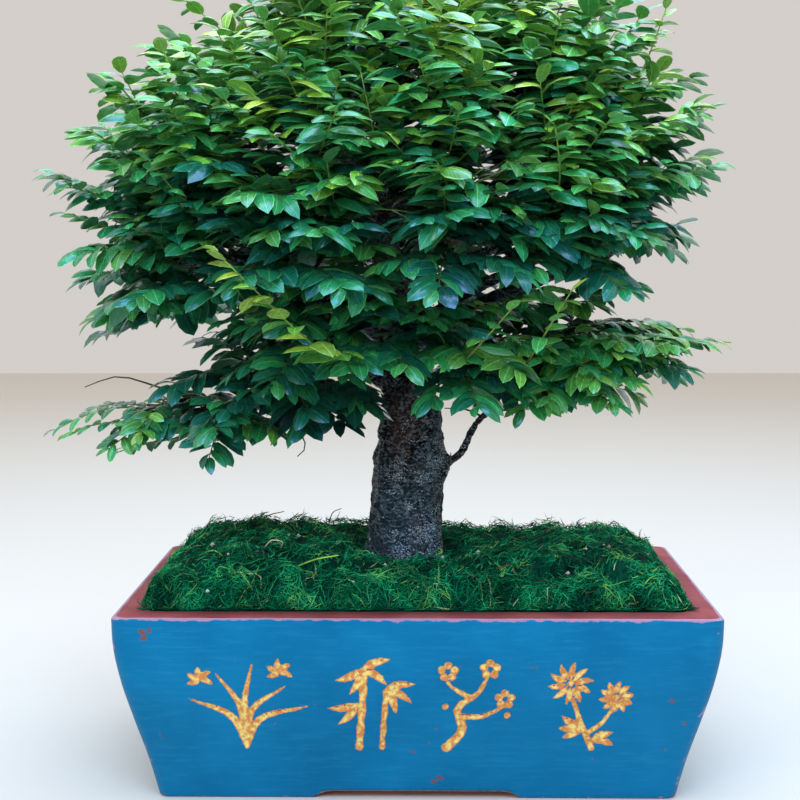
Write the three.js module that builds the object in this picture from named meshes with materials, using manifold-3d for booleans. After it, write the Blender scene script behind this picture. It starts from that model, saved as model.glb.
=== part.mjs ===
// A red sandalwood bonsai in a tapered rectangular pot, in millimetres, with +Z up.
// The pot, its soil, the moss and the woody tree are one solid each, and every spray of
// leaves is a solid of its own. The finished group stands on z = 0 with its box centred.

import * as THREE from "three";
import { mergeVertices } from "three/addons/utils/BufferGeometryUtils.js";
import Module from "manifold-3d";

const wasm = await Module();
wasm.setup();

// Clear gap between pieces that touch
const GAP = 0.4;

// Pot
const POT_WIDTH = 450;
const POT_DEPTH = 280;
const POT_HEIGHT = 145;
const POT_CORNER_RADIUS = 8;
const RIM_WIDTH = 24;
const WALL_THICKNESS = 17;
const FLOOR_THICKNESS = 16;
const FOOT_HEIGHT = 6;
const FOOT_SPACING = 150;
const DRAIN_HOLE_RADIUS = 9;
const DRAIN_HOLE_SPACING = 90;
// How far each wall comes in, against how far down the pot it is, from rim to foot
const WALL_PROFILE = [[0, 0], [0.15, 0.8], [0.35, 5.5], [0.55, 12.8], [0.77, 21.5], [1, 29]];

// Drain screens, soil and moss
const SCREEN_SIZE = 34;
const SCREEN_THICKNESS = 1.6;
const SCREEN_HOLES = 2;
const SOIL_BELOW_RIM = 9;
const MOSS_HEIGHT = 46;
const MOSS_EDGE_HEIGHT = 27;
const MOSS_EDGE_REACH = 24;
const MOSS_DIP = 20;
const MOSS_DIP_REACH = 60;
const MOSS_LUMP = 3.2;
const MOSS_COLUMNS = 20;
const MOSS_ROWS = 11;

// Trunk: height, centre and radius from the stump in the soil up to the first limbs
const TRUNK_SIDES = 12;
const TRUNK_RINGS = [
  { z: 62, x: -10, radius: 21 },
  { z: 95, x: -10, radius: 29 },
  { z: 130, x: -10, radius: 33 },
  { z: 160, x: -10, radius: 32 },
  { z: 185, x: -10, radius: 30.5 },
  { z: 212, x: -9.5, radius: 29 },
  { z: 239, x: -8, radius: 28 },
  { z: 266, x: -6, radius: 25.5 },
  { z: 292, x: -5, radius: 22.5 },
  { z: 318, x: -9, radius: 20 },
  { z: 345, x: -14, radius: 17.5 },
];
const BURL_HEIGHT = 239;
const BURL_SWELL = 5;
const BURL_REACH = 16;

// Roots: how many go out through the soil, how far, and how deep they end
const ROOT_COUNT = 4;
const ROOT_REACH = 86;
const ROOT_DROP = 38;

// Limbs: points along each from where it leaves the wood, and its radius at both ends
const LIMBS = {
  leader: {
    points: [
      [-12, 0, 325], [-20, 1, 380], [-28, -1, 425], [-33, -4, 465], [-26, 0, 520], [-18, 2, 574],
    ],
    radii: [17, 3.4],
    sides: 7,
  },
  lowRight: {
    points: [
      [10, 0, 234], [34, -4, 248], [46, -11, 272], [54, -15, 282], [92, -20, 289], [148, -21, 304],
      [186, -19, 318],
    ],
    radii: [6.5, 2.4],
    sides: 5,
  },
  lowLeft: {
    points: [
      [-12, 0, 268], [-50, -9, 295], [-95, -18, 305], [-136, -23, 297], [-170, -26, 288],
      [-196, -27, 283],
    ],
    radii: [8, 2],
    sides: 5,
  },
  uprightLeft: {
    points: [
      [-10, 3, 300], [-44, 6, 322], [-57, 5, 350], [-58, 5, 400], [-64, 8, 440], [-80, 6, 480],
      [-100, 4, 512],
    ],
    radii: [9.5, 3.4],
    sides: 6,
  },
  levelLeft: {
    points: [[-57, 5, 392], [-90, 1, 401], [-131, -5, 404], [-178, -8, 418], [-196, -8, 452]],
    radii: [7, 3],
    sides: 5,
  },
  midRight: {
    points: [[-8, 0, 326], [46, -5, 366], [104, -9, 392], [152, -12, 410], [178, -10, 446]],
    radii: [9, 3],
    sides: 5,
  },
  upperRight: {
    points: [[-22, 0, 392], [28, 4, 436], [82, 6, 480], [110, 6, 512]],
    radii: [9, 3.2],
    sides: 5,
  },
  frontLow: {
    points: [[-4, -10, 298], [8, -52, 322], [16, -88, 334]],
    radii: [7, 3],
    sides: 4,
  },
  frontLeft: {
    points: [[-14, -8, 332], [-50, -50, 362], [-88, -98, 384], [-104, -118, 396]],
    radii: [7, 3],
    sides: 4,
  },
  frontMiddle: {
    points: [[-24, -6, 408], [-16, -60, 440], [2, -112, 464], [8, -134, 476]],
    radii: [7, 3],
    sides: 4,
  },
  frontRight: {
    points: [[-10, -8, 345], [42, -52, 382], [86, -92, 404], [106, -110, 414]],
    radii: [7, 3],
    sides: 4,
  },
  backLow: {
    points: [[-6, 10, 312], [10, 58, 336], [24, 92, 348]],
    radii: [7, 3],
    sides: 4,
  },
  backLeft: {
    points: [[-14, 10, 340], [-66, 56, 386], [-112, 102, 414], [-126, 116, 440]],
    radii: [7, 3],
    sides: 4,
  },
  backMiddle: {
    points: [[-24, 8, 414], [-24, 60, 448], [-22, 110, 468], [-20, 132, 480]],
    radii: [7, 3],
    sides: 4,
  },
  backRight: {
    points: [[-12, 8, 360], [40, 54, 404], [88, 94, 424], [116, 112, 446]],
    radii: [7, 3],
    sides: 4,
  },
  frontTop: {
    points: [[-30, -6, 470], [-18, -44, 500], [-8, -74, 518]],
    radii: [5.5, 3],
    sides: 4,
  },
  backTop: {
    points: [[-28, 5, 480], [-32, 42, 504], [-28, 74, 520]],
    radii: [5.5, 3],
    sides: 4,
  },
};

// Crown: rings and arcs of sprays, each with its height, how much higher it is at the right end,
// its middle, its half-axes, the compass turns that it runs between, and the slope of its shoots
const HEIGHT_SPREAD = 15;
const REACH_SPREAD = 0.07;
const TURN_SPREAD = 5;
const SLOPE_SPREAD = 8;
const CROWN_TIERS = [
  {
    name: "peak", count: 1, height: 588, tilt: 0, middle: -16, axes: [0, 0],
    turns: [30, 390], slope: 72,
  },
  {
    name: "top", count: 5, height: 572, tilt: 0, middle: -12, axes: [80, 70],
    turns: [18, 378], slope: 58,
  },
  {
    name: "upper", count: 9, height: 532, tilt: 12, middle: -14, axes: [138, 120],
    turns: [0, 360], slope: 42,
  },
  {
    name: "shoulder", count: 12, height: 470, tilt: 0, middle: -18, axes: [184, 154],
    turns: [15, 375], slope: 24,
  },
  {
    name: "skirt", count: 10, height: 412, tilt: 28, middle: -34, axes: [178, 148],
    turns: [0, 360], slope: 6,
  },
  {
    name: "under_front", count: 3, height: 350, tilt: 0, middle: -22, axes: [92, 88],
    turns: [222, 363], slope: 4,
  },
  {
    name: "under_back", count: 4, height: 344, tilt: 0, middle: -22, axes: [112, 92],
    turns: [10, 180], slope: 0,
  },
];
// Sprays of the two long low limbs, one by one, with the compass turn of their shoots
const LOW_SPRAYS = [
  { name: "low_left_1", at: [-96, -34, 304], turn: 225, slope: -2 },
  { name: "low_left_2", at: [-138, -16, 318], turn: 160, slope: 8 },
  { name: "low_left_3", at: [-160, -38, 284], turn: 205, slope: -4 },
  { name: "low_left_4", at: [-212, -26, 284], turn: 178, slope: -4 },
  { name: "low_right_1", at: [104, -34, 326], turn: -65, slope: 4 },
  { name: "low_right_2", at: [140, 0, 336], turn: 35, slope: 10 },
  { name: "low_right_3", at: [160, -24, 332], turn: -8, slope: 12 },
  { name: "low_right_4", at: [118, -34, 316], turn: -30, slope: 2 },
];

// Sprays and leaves
const KNUCKLE_RADIUS = 11;
const KNUCKLE_HEIGHT = 9;
// Each shoot of a spray: its turn from the middle one, its length share and its leaves
const SHOOTS = [
  { fan: -52, share: 0.82, leaves: 2 },
  { fan: 0, share: 1, leaves: 3 },
  { fan: 52, share: 0.82, leaves: 2 },
];
const SHOOT_LIFT = 12;
const SHOOT_LENGTH = 64;
const SHOOT_RADIUS = 1.7;
const LEAF_LENGTH = 34;
const LEAF_WIDTH = 15;
const LEAF_THICKNESS = 1.6;
const LEAF_RISE = 0.1;
const LEAF_DROOP = 0.28;
const LEAF_ANGLE = 56;
const BRANCHLET_RADII = [2.8, 1.7];

const UP = new THREE.Vector3(0, 0, 1);

// A seeded random number between 0 and 1, the same on every run
function seededRandom(seed) {
  let state = seed;
  return () => {
    state = (state + 0x6d2b79f5) | 0;
    let mixed = Math.imul(state ^ (state >>> 15), 1 | state);
    mixed = (mixed + Math.imul(mixed ^ (mixed >>> 7), 61 | mixed)) ^ mixed;
    return ((mixed ^ (mixed >>> 14)) >>> 0) / 4294967296;
  };
}

const random = seededRandom(20417);
const spread = (amount) => (random() * 2 - 1) * amount;
const mix = (a, b, share) => a + (b - a) * share;
const vector = ([x, y, z]) => new THREE.Vector3(x, y, z);

// A unit vector from a compass turn about +Z and a slope above the level, in degrees
function heading(turn, slope) {
  const t = THREE.MathUtils.degToRad(turn);
  const s = THREE.MathUtils.degToRad(slope);
  return new THREE.Vector3(Math.cos(t) * Math.cos(s), Math.sin(t) * Math.cos(s), Math.sin(s));
}

// A geometry from vertices and the triangles between them
function triangles(vertices, faces) {
  const geometry = new THREE.BufferGeometry();
  const numbers = vertices.flatMap((v) => [v.x, v.y, v.z]);
  geometry.setAttribute("position", new THREE.Float32BufferAttribute(numbers, 3));
  geometry.setIndex(faces.flat());
  return geometry;
}

// A closed solid through rings of equal point counts, with a fan across each end
function stackedRings(rings) {
  const sides = rings[0].length;
  const vertices = rings.flat();
  const faces = [];
  for (let level = 0; level < rings.length - 1; level += 1) {
    for (let side = 0; side < sides; side += 1) {
      const a = level * sides + side;
      const b = level * sides + ((side + 1) % sides);
      faces.push([a, b, b + sides], [a, b + sides, a + sides]);
    }
  }
  const last = (rings.length - 1) * sides;
  for (let side = 1; side < sides - 1; side += 1) {
    faces.push([0, side + 1, side], [last, last + side, last + side + 1]);
  }
  return triangles(vertices, faces);
}

// Booleans: geometry to solid, and back to a geometry of the largest body
function toSolid(geometry) {
  const bare = geometry.clone();
  bare.deleteAttribute("normal");
  bare.deleteAttribute("uv");
  const welded = mergeVertices(bare, 1e-4);
  return new wasm.Manifold(new wasm.Mesh({
    numProp: 3,
    vertProperties: new Float32Array(welded.attributes.position.array),
    triVerts: new Uint32Array(welded.index.array),
  }));
}

const joined = (solids) => solids.reduce((whole, solid) => whole.add(solid));

function largestBody(solid) {
  const bodies = solid.decompose();
  return bodies.reduce((best, body) => (body.volume() > best.volume() ? body : best));
}

function toGeometry(solid) {
  const mesh = largestBody(solid).getMesh();
  const geometry = new THREE.BufferGeometry();
  const numbers = new Float32Array(mesh.vertProperties);
  geometry.setAttribute("position", new THREE.BufferAttribute(numbers, 3));
  geometry.setIndex(new THREE.BufferAttribute(new Uint32Array(mesh.triVerts), 1));
  geometry.computeVertexNormals();
  return geometry;
}

// A rounded rectangle, counter-clockwise, at one height
function roundedRectangle(width, depth, radius, z) {
  const steps = 3;
  const points = [];
  for (let corner = 0; corner < 4; corner += 1) {
    const signX = corner === 0 || corner === 3 ? 1 : -1;
    const signY = corner < 2 ? 1 : -1;
    for (let step = 0; step <= steps; step += 1) {
      const angle = (corner + step / steps) * (Math.PI / 2);
      const x = signX * (width / 2 - radius) + radius * Math.cos(angle);
      const y = signY * (depth / 2 - radius) + radius * Math.sin(angle);
      points.push(new THREE.Vector3(x, y, z));
    }
  }
  return points;
}

// How far the outer wall has come in at a height, from the profile's points
function wallInset(z) {
  const down = 1 - z / POT_HEIGHT;
  const next = WALL_PROFILE.findIndex(([at]) => at >= down - 1e-6);
  if (next <= 0) {
    return 0;
  }
  const [fromDown, fromInset] = WALL_PROFILE[next - 1];
  const [toDown, toInset] = WALL_PROFILE[next];
  return mix(fromInset, toInset, (down - fromDown) / (toDown - fromDown));
}

// The pot's outer form as a solid block
function potBlock() {
  const heights = WALL_PROFILE.map(([down]) => (1 - down) * POT_HEIGHT).reverse();
  return stackedRings(heights.map((z) => {
    const inset = 2 * wallInset(z);
    return roundedRectangle(POT_WIDTH - inset, POT_DEPTH - inset, POT_CORNER_RADIUS, z);
  }));
}

// The wall is thicker under the rim than lower down
function wallThickness(z) {
  const up = THREE.MathUtils.clamp((z / POT_HEIGHT - 0.5) / 0.3, 0, 1);
  return mix(WALL_THICKNESS, RIM_WIDTH, up);
}

// The hollow of the pot up to a height, smaller by a clearance all round
function hollow(clearance, top) {
  const levels = [FLOOR_THICKNESS + clearance, POT_HEIGHT * 0.5, POT_HEIGHT * 0.8, top];
  return stackedRings(levels.map((z) => {
    const inset = 2 * (wallInset(z) + wallThickness(z) + clearance);
    return roundedRectangle(POT_WIDTH - inset, POT_DEPTH - inset, POT_CORNER_RADIUS, z);
  }));
}

// The recess between the two feet, with ends that curve down to the ground
function footRecess() {
  const outline = new THREE.Shape();
  const half = FOOT_SPACING / 2;
  outline.moveTo(-half - FOOT_HEIGHT, -1);
  outline.lineTo(half + FOOT_HEIGHT, -1);
  outline.quadraticCurveTo(half, FOOT_HEIGHT * 0.2, half - FOOT_HEIGHT * 2, FOOT_HEIGHT);
  outline.lineTo(-half + FOOT_HEIGHT * 2, FOOT_HEIGHT);
  outline.quadraticCurveTo(-half, FOOT_HEIGHT * 0.2, -half - FOOT_HEIGHT, -1);
  const extrusion = { depth: POT_DEPTH, bevelEnabled: false, curveSegments: 4 };
  const recess = new THREE.ExtrudeGeometry(outline, extrusion);
  return recess.rotateX(Math.PI / 2).translate(0, POT_DEPTH / 2, 0);
}

// Pot: a hollow block with two drain holes, on two wide feet
function pot() {
  let body = toSolid(potBlock());
  body = body.subtract(toSolid(hollow(0, POT_HEIGHT + 1)));
  body = body.subtract(toSolid(footRecess()));
  for (const side of [-1, 1]) {
    const length = FLOOR_THICKNESS * 3;
    const hole = new THREE.CylinderGeometry(DRAIN_HOLE_RADIUS, DRAIN_HOLE_RADIUS, length, 14);
    hole.rotateX(Math.PI / 2).translate(side * DRAIN_HOLE_SPACING / 2, 0, FLOOR_THICKNESS);
    body = body.subtract(toSolid(hole));
  }
  return body;
}

// A square of plastic mesh that keeps the soil from falling through a drain hole
function drainScreen(side) {
  const pitch = SCREEN_SIZE / SCREEN_HOLES;
  let body = toSolid(new THREE.BoxGeometry(SCREEN_SIZE, SCREEN_SIZE, SCREEN_THICKNESS));
  for (let column = 0; column < SCREEN_HOLES; column += 1) {
    for (let row = 0; row < SCREEN_HOLES; row += 1) {
      const hole = new THREE.BoxGeometry(pitch * 0.7, pitch * 0.7, SCREEN_THICKNESS * 2);
      const [x, y] = [column, row].map((place) => (place + 0.5) * pitch - SCREEN_SIZE / 2);
      hole.translate(x, y, 0);
      body = body.subtract(toSolid(hole));
    }
  }
  const height = FLOOR_THICKNESS + GAP + SCREEN_THICKNESS / 2;
  return toGeometry(body).translate(side * DRAIN_HOLE_SPACING / 2, 0, height);
}

// Soil: the pot's hollow filled, with plain holes for the stump and roots and over the screens
function soil(wood) {
  let body = toSolid(hollow(GAP, POT_HEIGHT - SOIL_BELOW_RIM));
  for (const side of [-1, 1]) {
    const room = SCREEN_SIZE + 2 * GAP;
    const pocket = new THREE.BoxGeometry(room, room, 2 * (SCREEN_THICKNESS + 3 * GAP));
    pocket.translate(side * DRAIN_HOLE_SPACING / 2, 0, FLOOR_THICKNESS);
    body = body.subtract(toSolid(pocket));
  }
  return body.subtract(wood);
}

// Height of the moss above the rim, from the distance to its edge and to the trunk
function mossHeight(x, y, halfWidth, halfDepth) {
  const edge = Math.min(halfWidth - Math.abs(x), halfDepth - Math.abs(y));
  const mound = mix(MOSS_HEIGHT, MOSS_EDGE_HEIGHT, Math.exp(-edge / MOSS_EDGE_REACH));
  const fromTrunk = Math.hypot(x - TRUNK_RINGS[3].x, y + 12) / MOSS_DIP_REACH;
  const across = Math.sin(x / 11 + 2.1 * Math.sin(y / 17));
  const along = Math.cos(y / 9 + 1.7 * Math.sin(x / 23));
  return mound - MOSS_DIP * Math.exp(-fromTrunk * fromTrunk) + MOSS_LUMP * across * along;
}

// Moss: a lumpy mat raised by formula over the soil, with a plain hole for the trunk
function moss(wood) {
  const halfWidth = POT_WIDTH / 2 - RIM_WIDTH - 4;
  const halfDepth = POT_DEPTH / 2 - RIM_WIDTH - 4;
  const under = POT_HEIGHT - SOIL_BELOW_RIM + GAP;
  const columns = MOSS_COLUMNS;
  const rows = MOSS_ROWS;
  const at = (column, row) => row * (columns + 1) + column;
  const vertices = [];
  const faces = [];
  const border = [];
  for (let row = 0; row <= rows; row += 1) {
    for (let column = 0; column <= columns; column += 1) {
      const x = mix(-halfWidth, halfWidth, column / columns);
      const y = mix(-halfDepth, halfDepth, row / rows);
      vertices.push(new THREE.Vector3(x, y, POT_HEIGHT + mossHeight(x, y, halfWidth, halfDepth)));
    }
  }
  for (let row = 0; row < rows; row += 1) {
    for (let column = 0; column < columns; column += 1) {
      const [a, b] = [at(column, row), at(column + 1, row)];
      const [c, d] = [at(column + 1, row + 1), at(column, row + 1)];
      faces.push([a, b, c], [a, c, d]);
    }
  }
  for (let column = 0; column < columns; column += 1) {
    border[column] = at(column, 0);
    border[columns + rows + column] = at(columns - column, rows);
  }
  for (let row = 0; row < rows; row += 1) {
    border[columns + row] = at(columns, row);
    border[2 * columns + rows + row] = at(0, rows - row);
  }
  const firstUnder = vertices.length;
  border.forEach((index) => vertices.push(vertices[index].clone().setZ(under)));
  const middleUnder = vertices.length;
  vertices.push(new THREE.Vector3(0, 0, under));
  border.forEach((index, place) => {
    const next = (place + 1) % border.length;
    faces.push([firstUnder + place, firstUnder + next, border[next]]);
    faces.push([firstUnder + place, border[next], index]);
    faces.push([middleUnder, firstUnder + next, firstUnder + place]);
  });
  return toSolid(triangles(vertices, faces)).subtract(wood);
}

// A tapered round tube along a smooth curve through points
function taperedTube(points, radii, sides, steps, extra = 0) {
  const curve = new THREE.CatmullRomCurve3(points, false, "centripetal");
  const frames = curve.computeFrenetFrames(steps, false);
  const rings = [];
  for (let step = 0; step <= steps; step += 1) {
    const share = step / steps;
    const centre = curve.getPointAt(share);
    const radius = mix(radii[0], radii[1], share) + extra;
    if (step === 0) {
      centre.addScaledVector(frames.tangents[0], -extra);
    }
    if (step === steps) {
      centre.addScaledVector(frames.tangents[steps], extra);
    }
    const ring = [];
    for (let side = 0; side < sides; side += 1) {
      const angle = (side / sides) * 2 * Math.PI;
      const out = frames.normals[step].clone().multiplyScalar(Math.cos(angle));
      out.addScaledVector(frames.binormals[step], Math.sin(angle));
      ring.push(centre.clone().addScaledVector(out, radius));
    }
    rings.push(ring);
  }
  return stackedRings(rings);
}

// Trunk: rings with shallow flutes, a burl on the right and a knobbly left edge
function trunk(extra) {
  const rings = TRUNK_RINGS.map(({ z, x, radius }, level) => {
    const end = level === 0 ? -extra : level === TRUNK_RINGS.length - 1 ? extra : 0;
    const ring = [];
    for (let side = 0; side < TRUNK_SIDES; side += 1) {
      const angle = (side / TRUNK_SIDES) * 2 * Math.PI;
      const flutes = 1 + 0.035 * Math.cos(5 * angle + level) + 0.025 * Math.cos(3 * angle - 1.3 * level);
      const nearBurl = Math.exp(-(((z - BURL_HEIGHT) / BURL_REACH) ** 2));
      const burl = BURL_SWELL * Math.max(0, Math.cos(angle)) ** 3 * nearBurl;
      const reach = radius * flutes + burl + extra;
      ring.push(new THREE.Vector3(x + reach * Math.cos(angle), reach * Math.sin(angle), z + end));
    }
    return ring;
  });
  return stackedRings(rings);
}

function root(index, extra) {
  const turn = 20 + (360 / ROOT_COUNT) * index;
  const away = heading(turn, 0);
  const start = new THREE.Vector3(TRUNK_RINGS[1].x, 0, 112).addScaledVector(away, 12);
  const middle = start.clone().addScaledVector(away, ROOT_REACH * 0.45).add(new THREE.Vector3(0, 0, -8));
  const end = start.clone().addScaledVector(away, ROOT_REACH).add(new THREE.Vector3(0, 0, -ROOT_DROP));
  return taperedTube([start, middle, end], [9, 3], 4, 2, extra);
}

// Where the sprays stand: the tiers of the crown, and the low limbs' own sprays
function sprayPlaces() {
  const places = [];
  for (const tier of CROWN_TIERS) {
    for (let index = 0; index < tier.count; index += 1) {
      const turn = mix(tier.turns[0], tier.turns[1], index / tier.count);
      const angle = THREE.MathUtils.degToRad(turn + spread(TURN_SPREAD));
      const reach = 1 + spread(REACH_SPREAD);
      const foot = new THREE.Vector3(
        tier.middle + tier.axes[0] * Math.cos(angle) * reach,
        tier.axes[1] * Math.sin(angle) * reach,
        tier.height + tier.tilt * Math.cos(angle) + spread(HEIGHT_SPREAD),
      );
      const name = tier.count > 1 ? `leaves_${tier.name}_${index + 1}` : `leaves_${tier.name}`;
      places.push({ name, foot, turn, slope: tier.slope + spread(SLOPE_SPREAD) });
    }
  }
  for (const spray of LOW_SPRAYS) {
    const { name, at, turn, slope } = spray;
    places.push({ name: `leaves_${name}`, foot: vector(at), turn, slope });
  }
  return places;
}

// A branchlet from the nearest limb, a little from below, into the knuckle of a spray
function branchletPath(place, limbPoints) {
  let best = null;
  let bestCost = Infinity;
  for (const point of limbPoints) {
    const rise = place.foot.z - point.z;
    const cost = point.distanceTo(place.foot) + Math.max(0, 12 - rise) * 0.8;
    if (cost < bestCost) {
      best = point;
      bestCost = cost;
    }
  }
  const inward = best.clone().sub(place.foot).normalize();
  const end = place.foot.clone().addScaledVector(inward, KNUCKLE_RADIUS * 0.4);
  const middle = best.clone().lerp(end, 0.5);
  middle.z += best.distanceTo(end) * 0.08;
  return [best, middle, end];
}

// The woody tree, as one solid, grown by an extra thickness where a clear hole is wanted
function tree(branchlets, extra) {
  const solids = [toSolid(trunk(extra))];
  for (let index = 0; index < ROOT_COUNT; index += 1) {
    solids.push(toSolid(root(index, extra)));
  }
  for (const { points, radii, sides } of Object.values(LIMBS)) {
    solids.push(toSolid(taperedTube(points.map(vector), radii, sides, points.length - 1, extra)));
  }
  for (const path of branchlets) {
    solids.push(toSolid(taperedTube(path, BRANCHLET_RADII, 3, 1, extra)));
  }
  return joined(solids);
}

// The knuckle at the foot of a spray, where its shoots fork from the branchlet's end
function knuckle(place) {
  const geometry = new THREE.OctahedronGeometry(KNUCKLE_RADIUS, 0);
  geometry.scale(1, 1, KNUCKLE_HEIGHT / KNUCKLE_RADIUS);
  geometry.rotateZ(THREE.MathUtils.degToRad(place.turn));
  return geometry.translate(place.foot.x, place.foot.y, place.foot.z);
}

// A leaf blade: pointed oval, ribbed and arched, thin at the edge and thickest at the rib
function leafBlade(length, width, thickness) {
  const arch = (share) => length * share * (LEAF_RISE - LEAF_DROOP * share);
  const low = 0.05 * width;
  const edge = (share, side) => new THREE.Vector3(length * share, side * width, arch(share) - low);
  const vertices = [
    new THREE.Vector3(0, 0, 0),
    edge(0.3, -0.47),
    edge(0.68, -0.4),
    new THREE.Vector3(length, 0, arch(1)),
    edge(0.68, 0.4),
    edge(0.3, 0.47),
    new THREE.Vector3(length * 0.46, 0, arch(0.46) + 0.08 * width + thickness / 2),
    new THREE.Vector3(length * 0.46, 0, arch(0.46) + 0.08 * width - thickness / 2),
  ];
  const faces = [];
  for (let place = 0; place < 6; place += 1) {
    const next = (place + 1) % 6;
    faces.push([place, next, 6], [next, place, 7]);
  }
  return triangles(vertices, faces);
}

// A shoot's stem: three-sided, with a face to each side for the leaves to grow from
function shootStem(shoot) {
  const level = new THREE.Vector3().crossVectors(UP, shoot.direction).normalize();
  const over = new THREE.Vector3().crossVectors(shoot.direction, level);
  const ends = [[0, SHOOT_RADIUS], [shoot.length, SHOOT_RADIUS * 0.8]];
  return stackedRings(ends.map(([along, radius]) => [90, 210, 330].map((degrees) => {
    const angle = THREE.MathUtils.degToRad(degrees);
    const point = shoot.start.clone().addScaledVector(shoot.direction, along);
    point.addScaledVector(level, radius * Math.cos(angle));
    return point.addScaledVector(over, radius * Math.sin(angle));
  })));
}

// Where each leaf of a shoot stands: alternate sides along it, and one at the tip
function leafPlacements(shoot) {
  const placements = [];
  const level = new THREE.Vector3().crossVectors(shoot.direction, UP).normalize();
  for (let index = 0; index < shoot.leaves; index += 1) {
    const last = index === shoot.leaves - 1;
    const share = last ? 0.985 : 0.35 + 0.32 * index;
    const side = index % 2 === 0 ? 1 : -1;
    const angle = THREE.MathUtils.degToRad(last ? 8 : LEAF_ANGLE + spread(8));
    const axis = shoot.direction.clone().multiplyScalar(Math.cos(angle));
    axis.addScaledVector(level, side * Math.sin(angle));
    axis.z *= 0.6;
    axis.normalize();
    const at = shoot.start.clone().addScaledVector(shoot.direction, shoot.length * share);
    placements.push({ at, axis, roll: spread(24), scale: mix(0.85, 1.08, random()) });
  }
  return placements;
}

function leafAt({ at, axis, roll, scale }, turn, thickness) {
  const across = new THREE.Vector3().crossVectors(UP, axis).normalize();
  const normal = new THREE.Vector3().crossVectors(axis, across);
  const matrix = new THREE.Matrix4().makeBasis(axis, across, normal).setPosition(at);
  const twist = new THREE.Matrix4().makeRotationX(THREE.MathUtils.degToRad(roll));
  twist.premultiply(new THREE.Matrix4().makeRotationZ(THREE.MathUtils.degToRad(turn)));
  const blade = leafBlade(LEAF_LENGTH * scale, LEAF_WIDTH * scale, thickness);
  return blade.applyMatrix4(matrix.multiply(twist));
}

// The shoots of a spray: a fan from its knuckle, straight and slim
function shootsOf(place) {
  const shoots = [];
  for (const { fan, share, leaves } of SHOOTS) {
    const lift = fan === 0 ? SHOOT_LIFT : -SHOOT_LIFT;
    const direction = heading(place.turn + fan + spread(8), place.slope + lift + spread(5));
    const start = place.foot.clone().addScaledVector(direction, KNUCKLE_RADIUS * 0.3);
    shoots.push({ start, direction, leaves, length: SHOOT_LENGTH * share + spread(5) });
  }
  return shoots;
}

// A guard is a little thicker than what it stands for, and tells whether two would touch
function touches(guard, taken) {
  const box = guard.boundingBox();
  return taken.some((other) => {
    const { min, max } = other.box;
    const apart = [0, 1, 2].some((k) => box.min[k] > max[k] + 1 || box.max[k] < min[k] - 1);
    return !apart && !guard.intersect(other.solid).isEmpty();
  });
}

const guarded = (solid) => ({ solid, box: solid.boundingBox() });

// One spray: its knuckle, shoots and leaves, each leaf turned or left out if it would touch
function spray(place, foot, wood, taken) {
  const pieces = [foot];
  const guards = [];
  const ownLeaves = [];
  for (const shoot of shootsOf(place)) {
    const stemSolid = toSolid(shootStem(shoot));
    if (touches(stemSolid, taken) || touches(stemSolid, [wood])) {
      continue;
    }
    pieces.push(stemSolid);
    guards.push(guarded(stemSolid));
    for (const placement of leafPlacements(shoot)) {
      const turn = [0, 14, -14, 26, -26].find((angle) => {
        const guard = toSolid(leafAt(placement, angle, LEAF_THICKNESS + 2));
        return !touches(guard, taken) && !touches(guard, [wood]) && !touches(guard, ownLeaves);
      });
      if (turn !== undefined) {
        pieces.push(toSolid(leafAt(placement, turn, LEAF_THICKNESS)));
        ownLeaves.push(guarded(toSolid(leafAt(placement, turn, LEAF_THICKNESS + 1))));
      }
    }
  }
  return { solid: joined(pieces), guards: [...guards, ...ownLeaves] };
}

const COLOURS = {
  pot: { color: 0x1874b2, roughness: 0.45 },
  screen: { color: 0x2b2b2b, roughness: 0.6 },
  soil: { color: 0x3b2a1d, roughness: 1 },
  moss: { color: 0x1b6b3c, roughness: 0.95 },
  bark: { color: 0x3a3634, roughness: 0.9 },
  leaf: { color: 0x1f7a35, roughness: 0.4 },
};

const bonsai = new THREE.Group();

function addPiece(name, geometry, look) {
  const material = new THREE.MeshStandardMaterial({ metalness: 0, ...COLOURS[look] });
  const piece = new THREE.Mesh(geometry, material);
  piece.name = name;
  bonsai.add(piece);
}

const places = sprayPlaces();
const limbPoints = Object.values(LIMBS).flatMap(({ points }) => {
  const curve = new THREE.CatmullRomCurve3(points.map(vector), false, "centripetal");
  return curve.getSpacedPoints(14).slice(4);
});
const branchlets = places.map((place) => branchletPath(place, limbPoints));
const wood = tree(branchlets, 0);
const clearWood = tree(branchlets, GAP);

addPiece("pot", toGeometry(pot()), "pot");
addPiece("drain_screen_left", drainScreen(-1), "screen");
addPiece("drain_screen_right", drainScreen(1), "screen");
addPiece("soil", toGeometry(soil(clearWood)), "soil");
addPiece("moss", toGeometry(moss(clearWood)), "moss");
addPiece("trunk_and_branches", toGeometry(wood), "bark");

const knuckles = places.map((place) => guarded(toSolid(knuckle(place))));
const woodGuard = guarded(clearWood);
const leafGuards = [];
places.forEach((place, index) => {
  const taken = [...knuckles.filter((other) => other !== knuckles[index]), ...leafGuards];
  const { solid, guards } = spray(place, knuckles[index].solid, woodGuard, taken);
  addPiece(place.name, toGeometry(solid.subtract(clearWood)), "leaf");
  leafGuards.push(...guards);
});

// Stand the bonsai on z = 0, with the middle of its box over the origin
const box = new THREE.Box3().setFromObject(bonsai);
const middle = box.getCenter(new THREE.Vector3());
bonsai.children.forEach((piece) => piece.position.set(-middle.x, -middle.y, -box.min.z));

export default bonsai;
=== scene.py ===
import math

import bmesh
import bpy
import numpy as np
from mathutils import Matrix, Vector, noise


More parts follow.
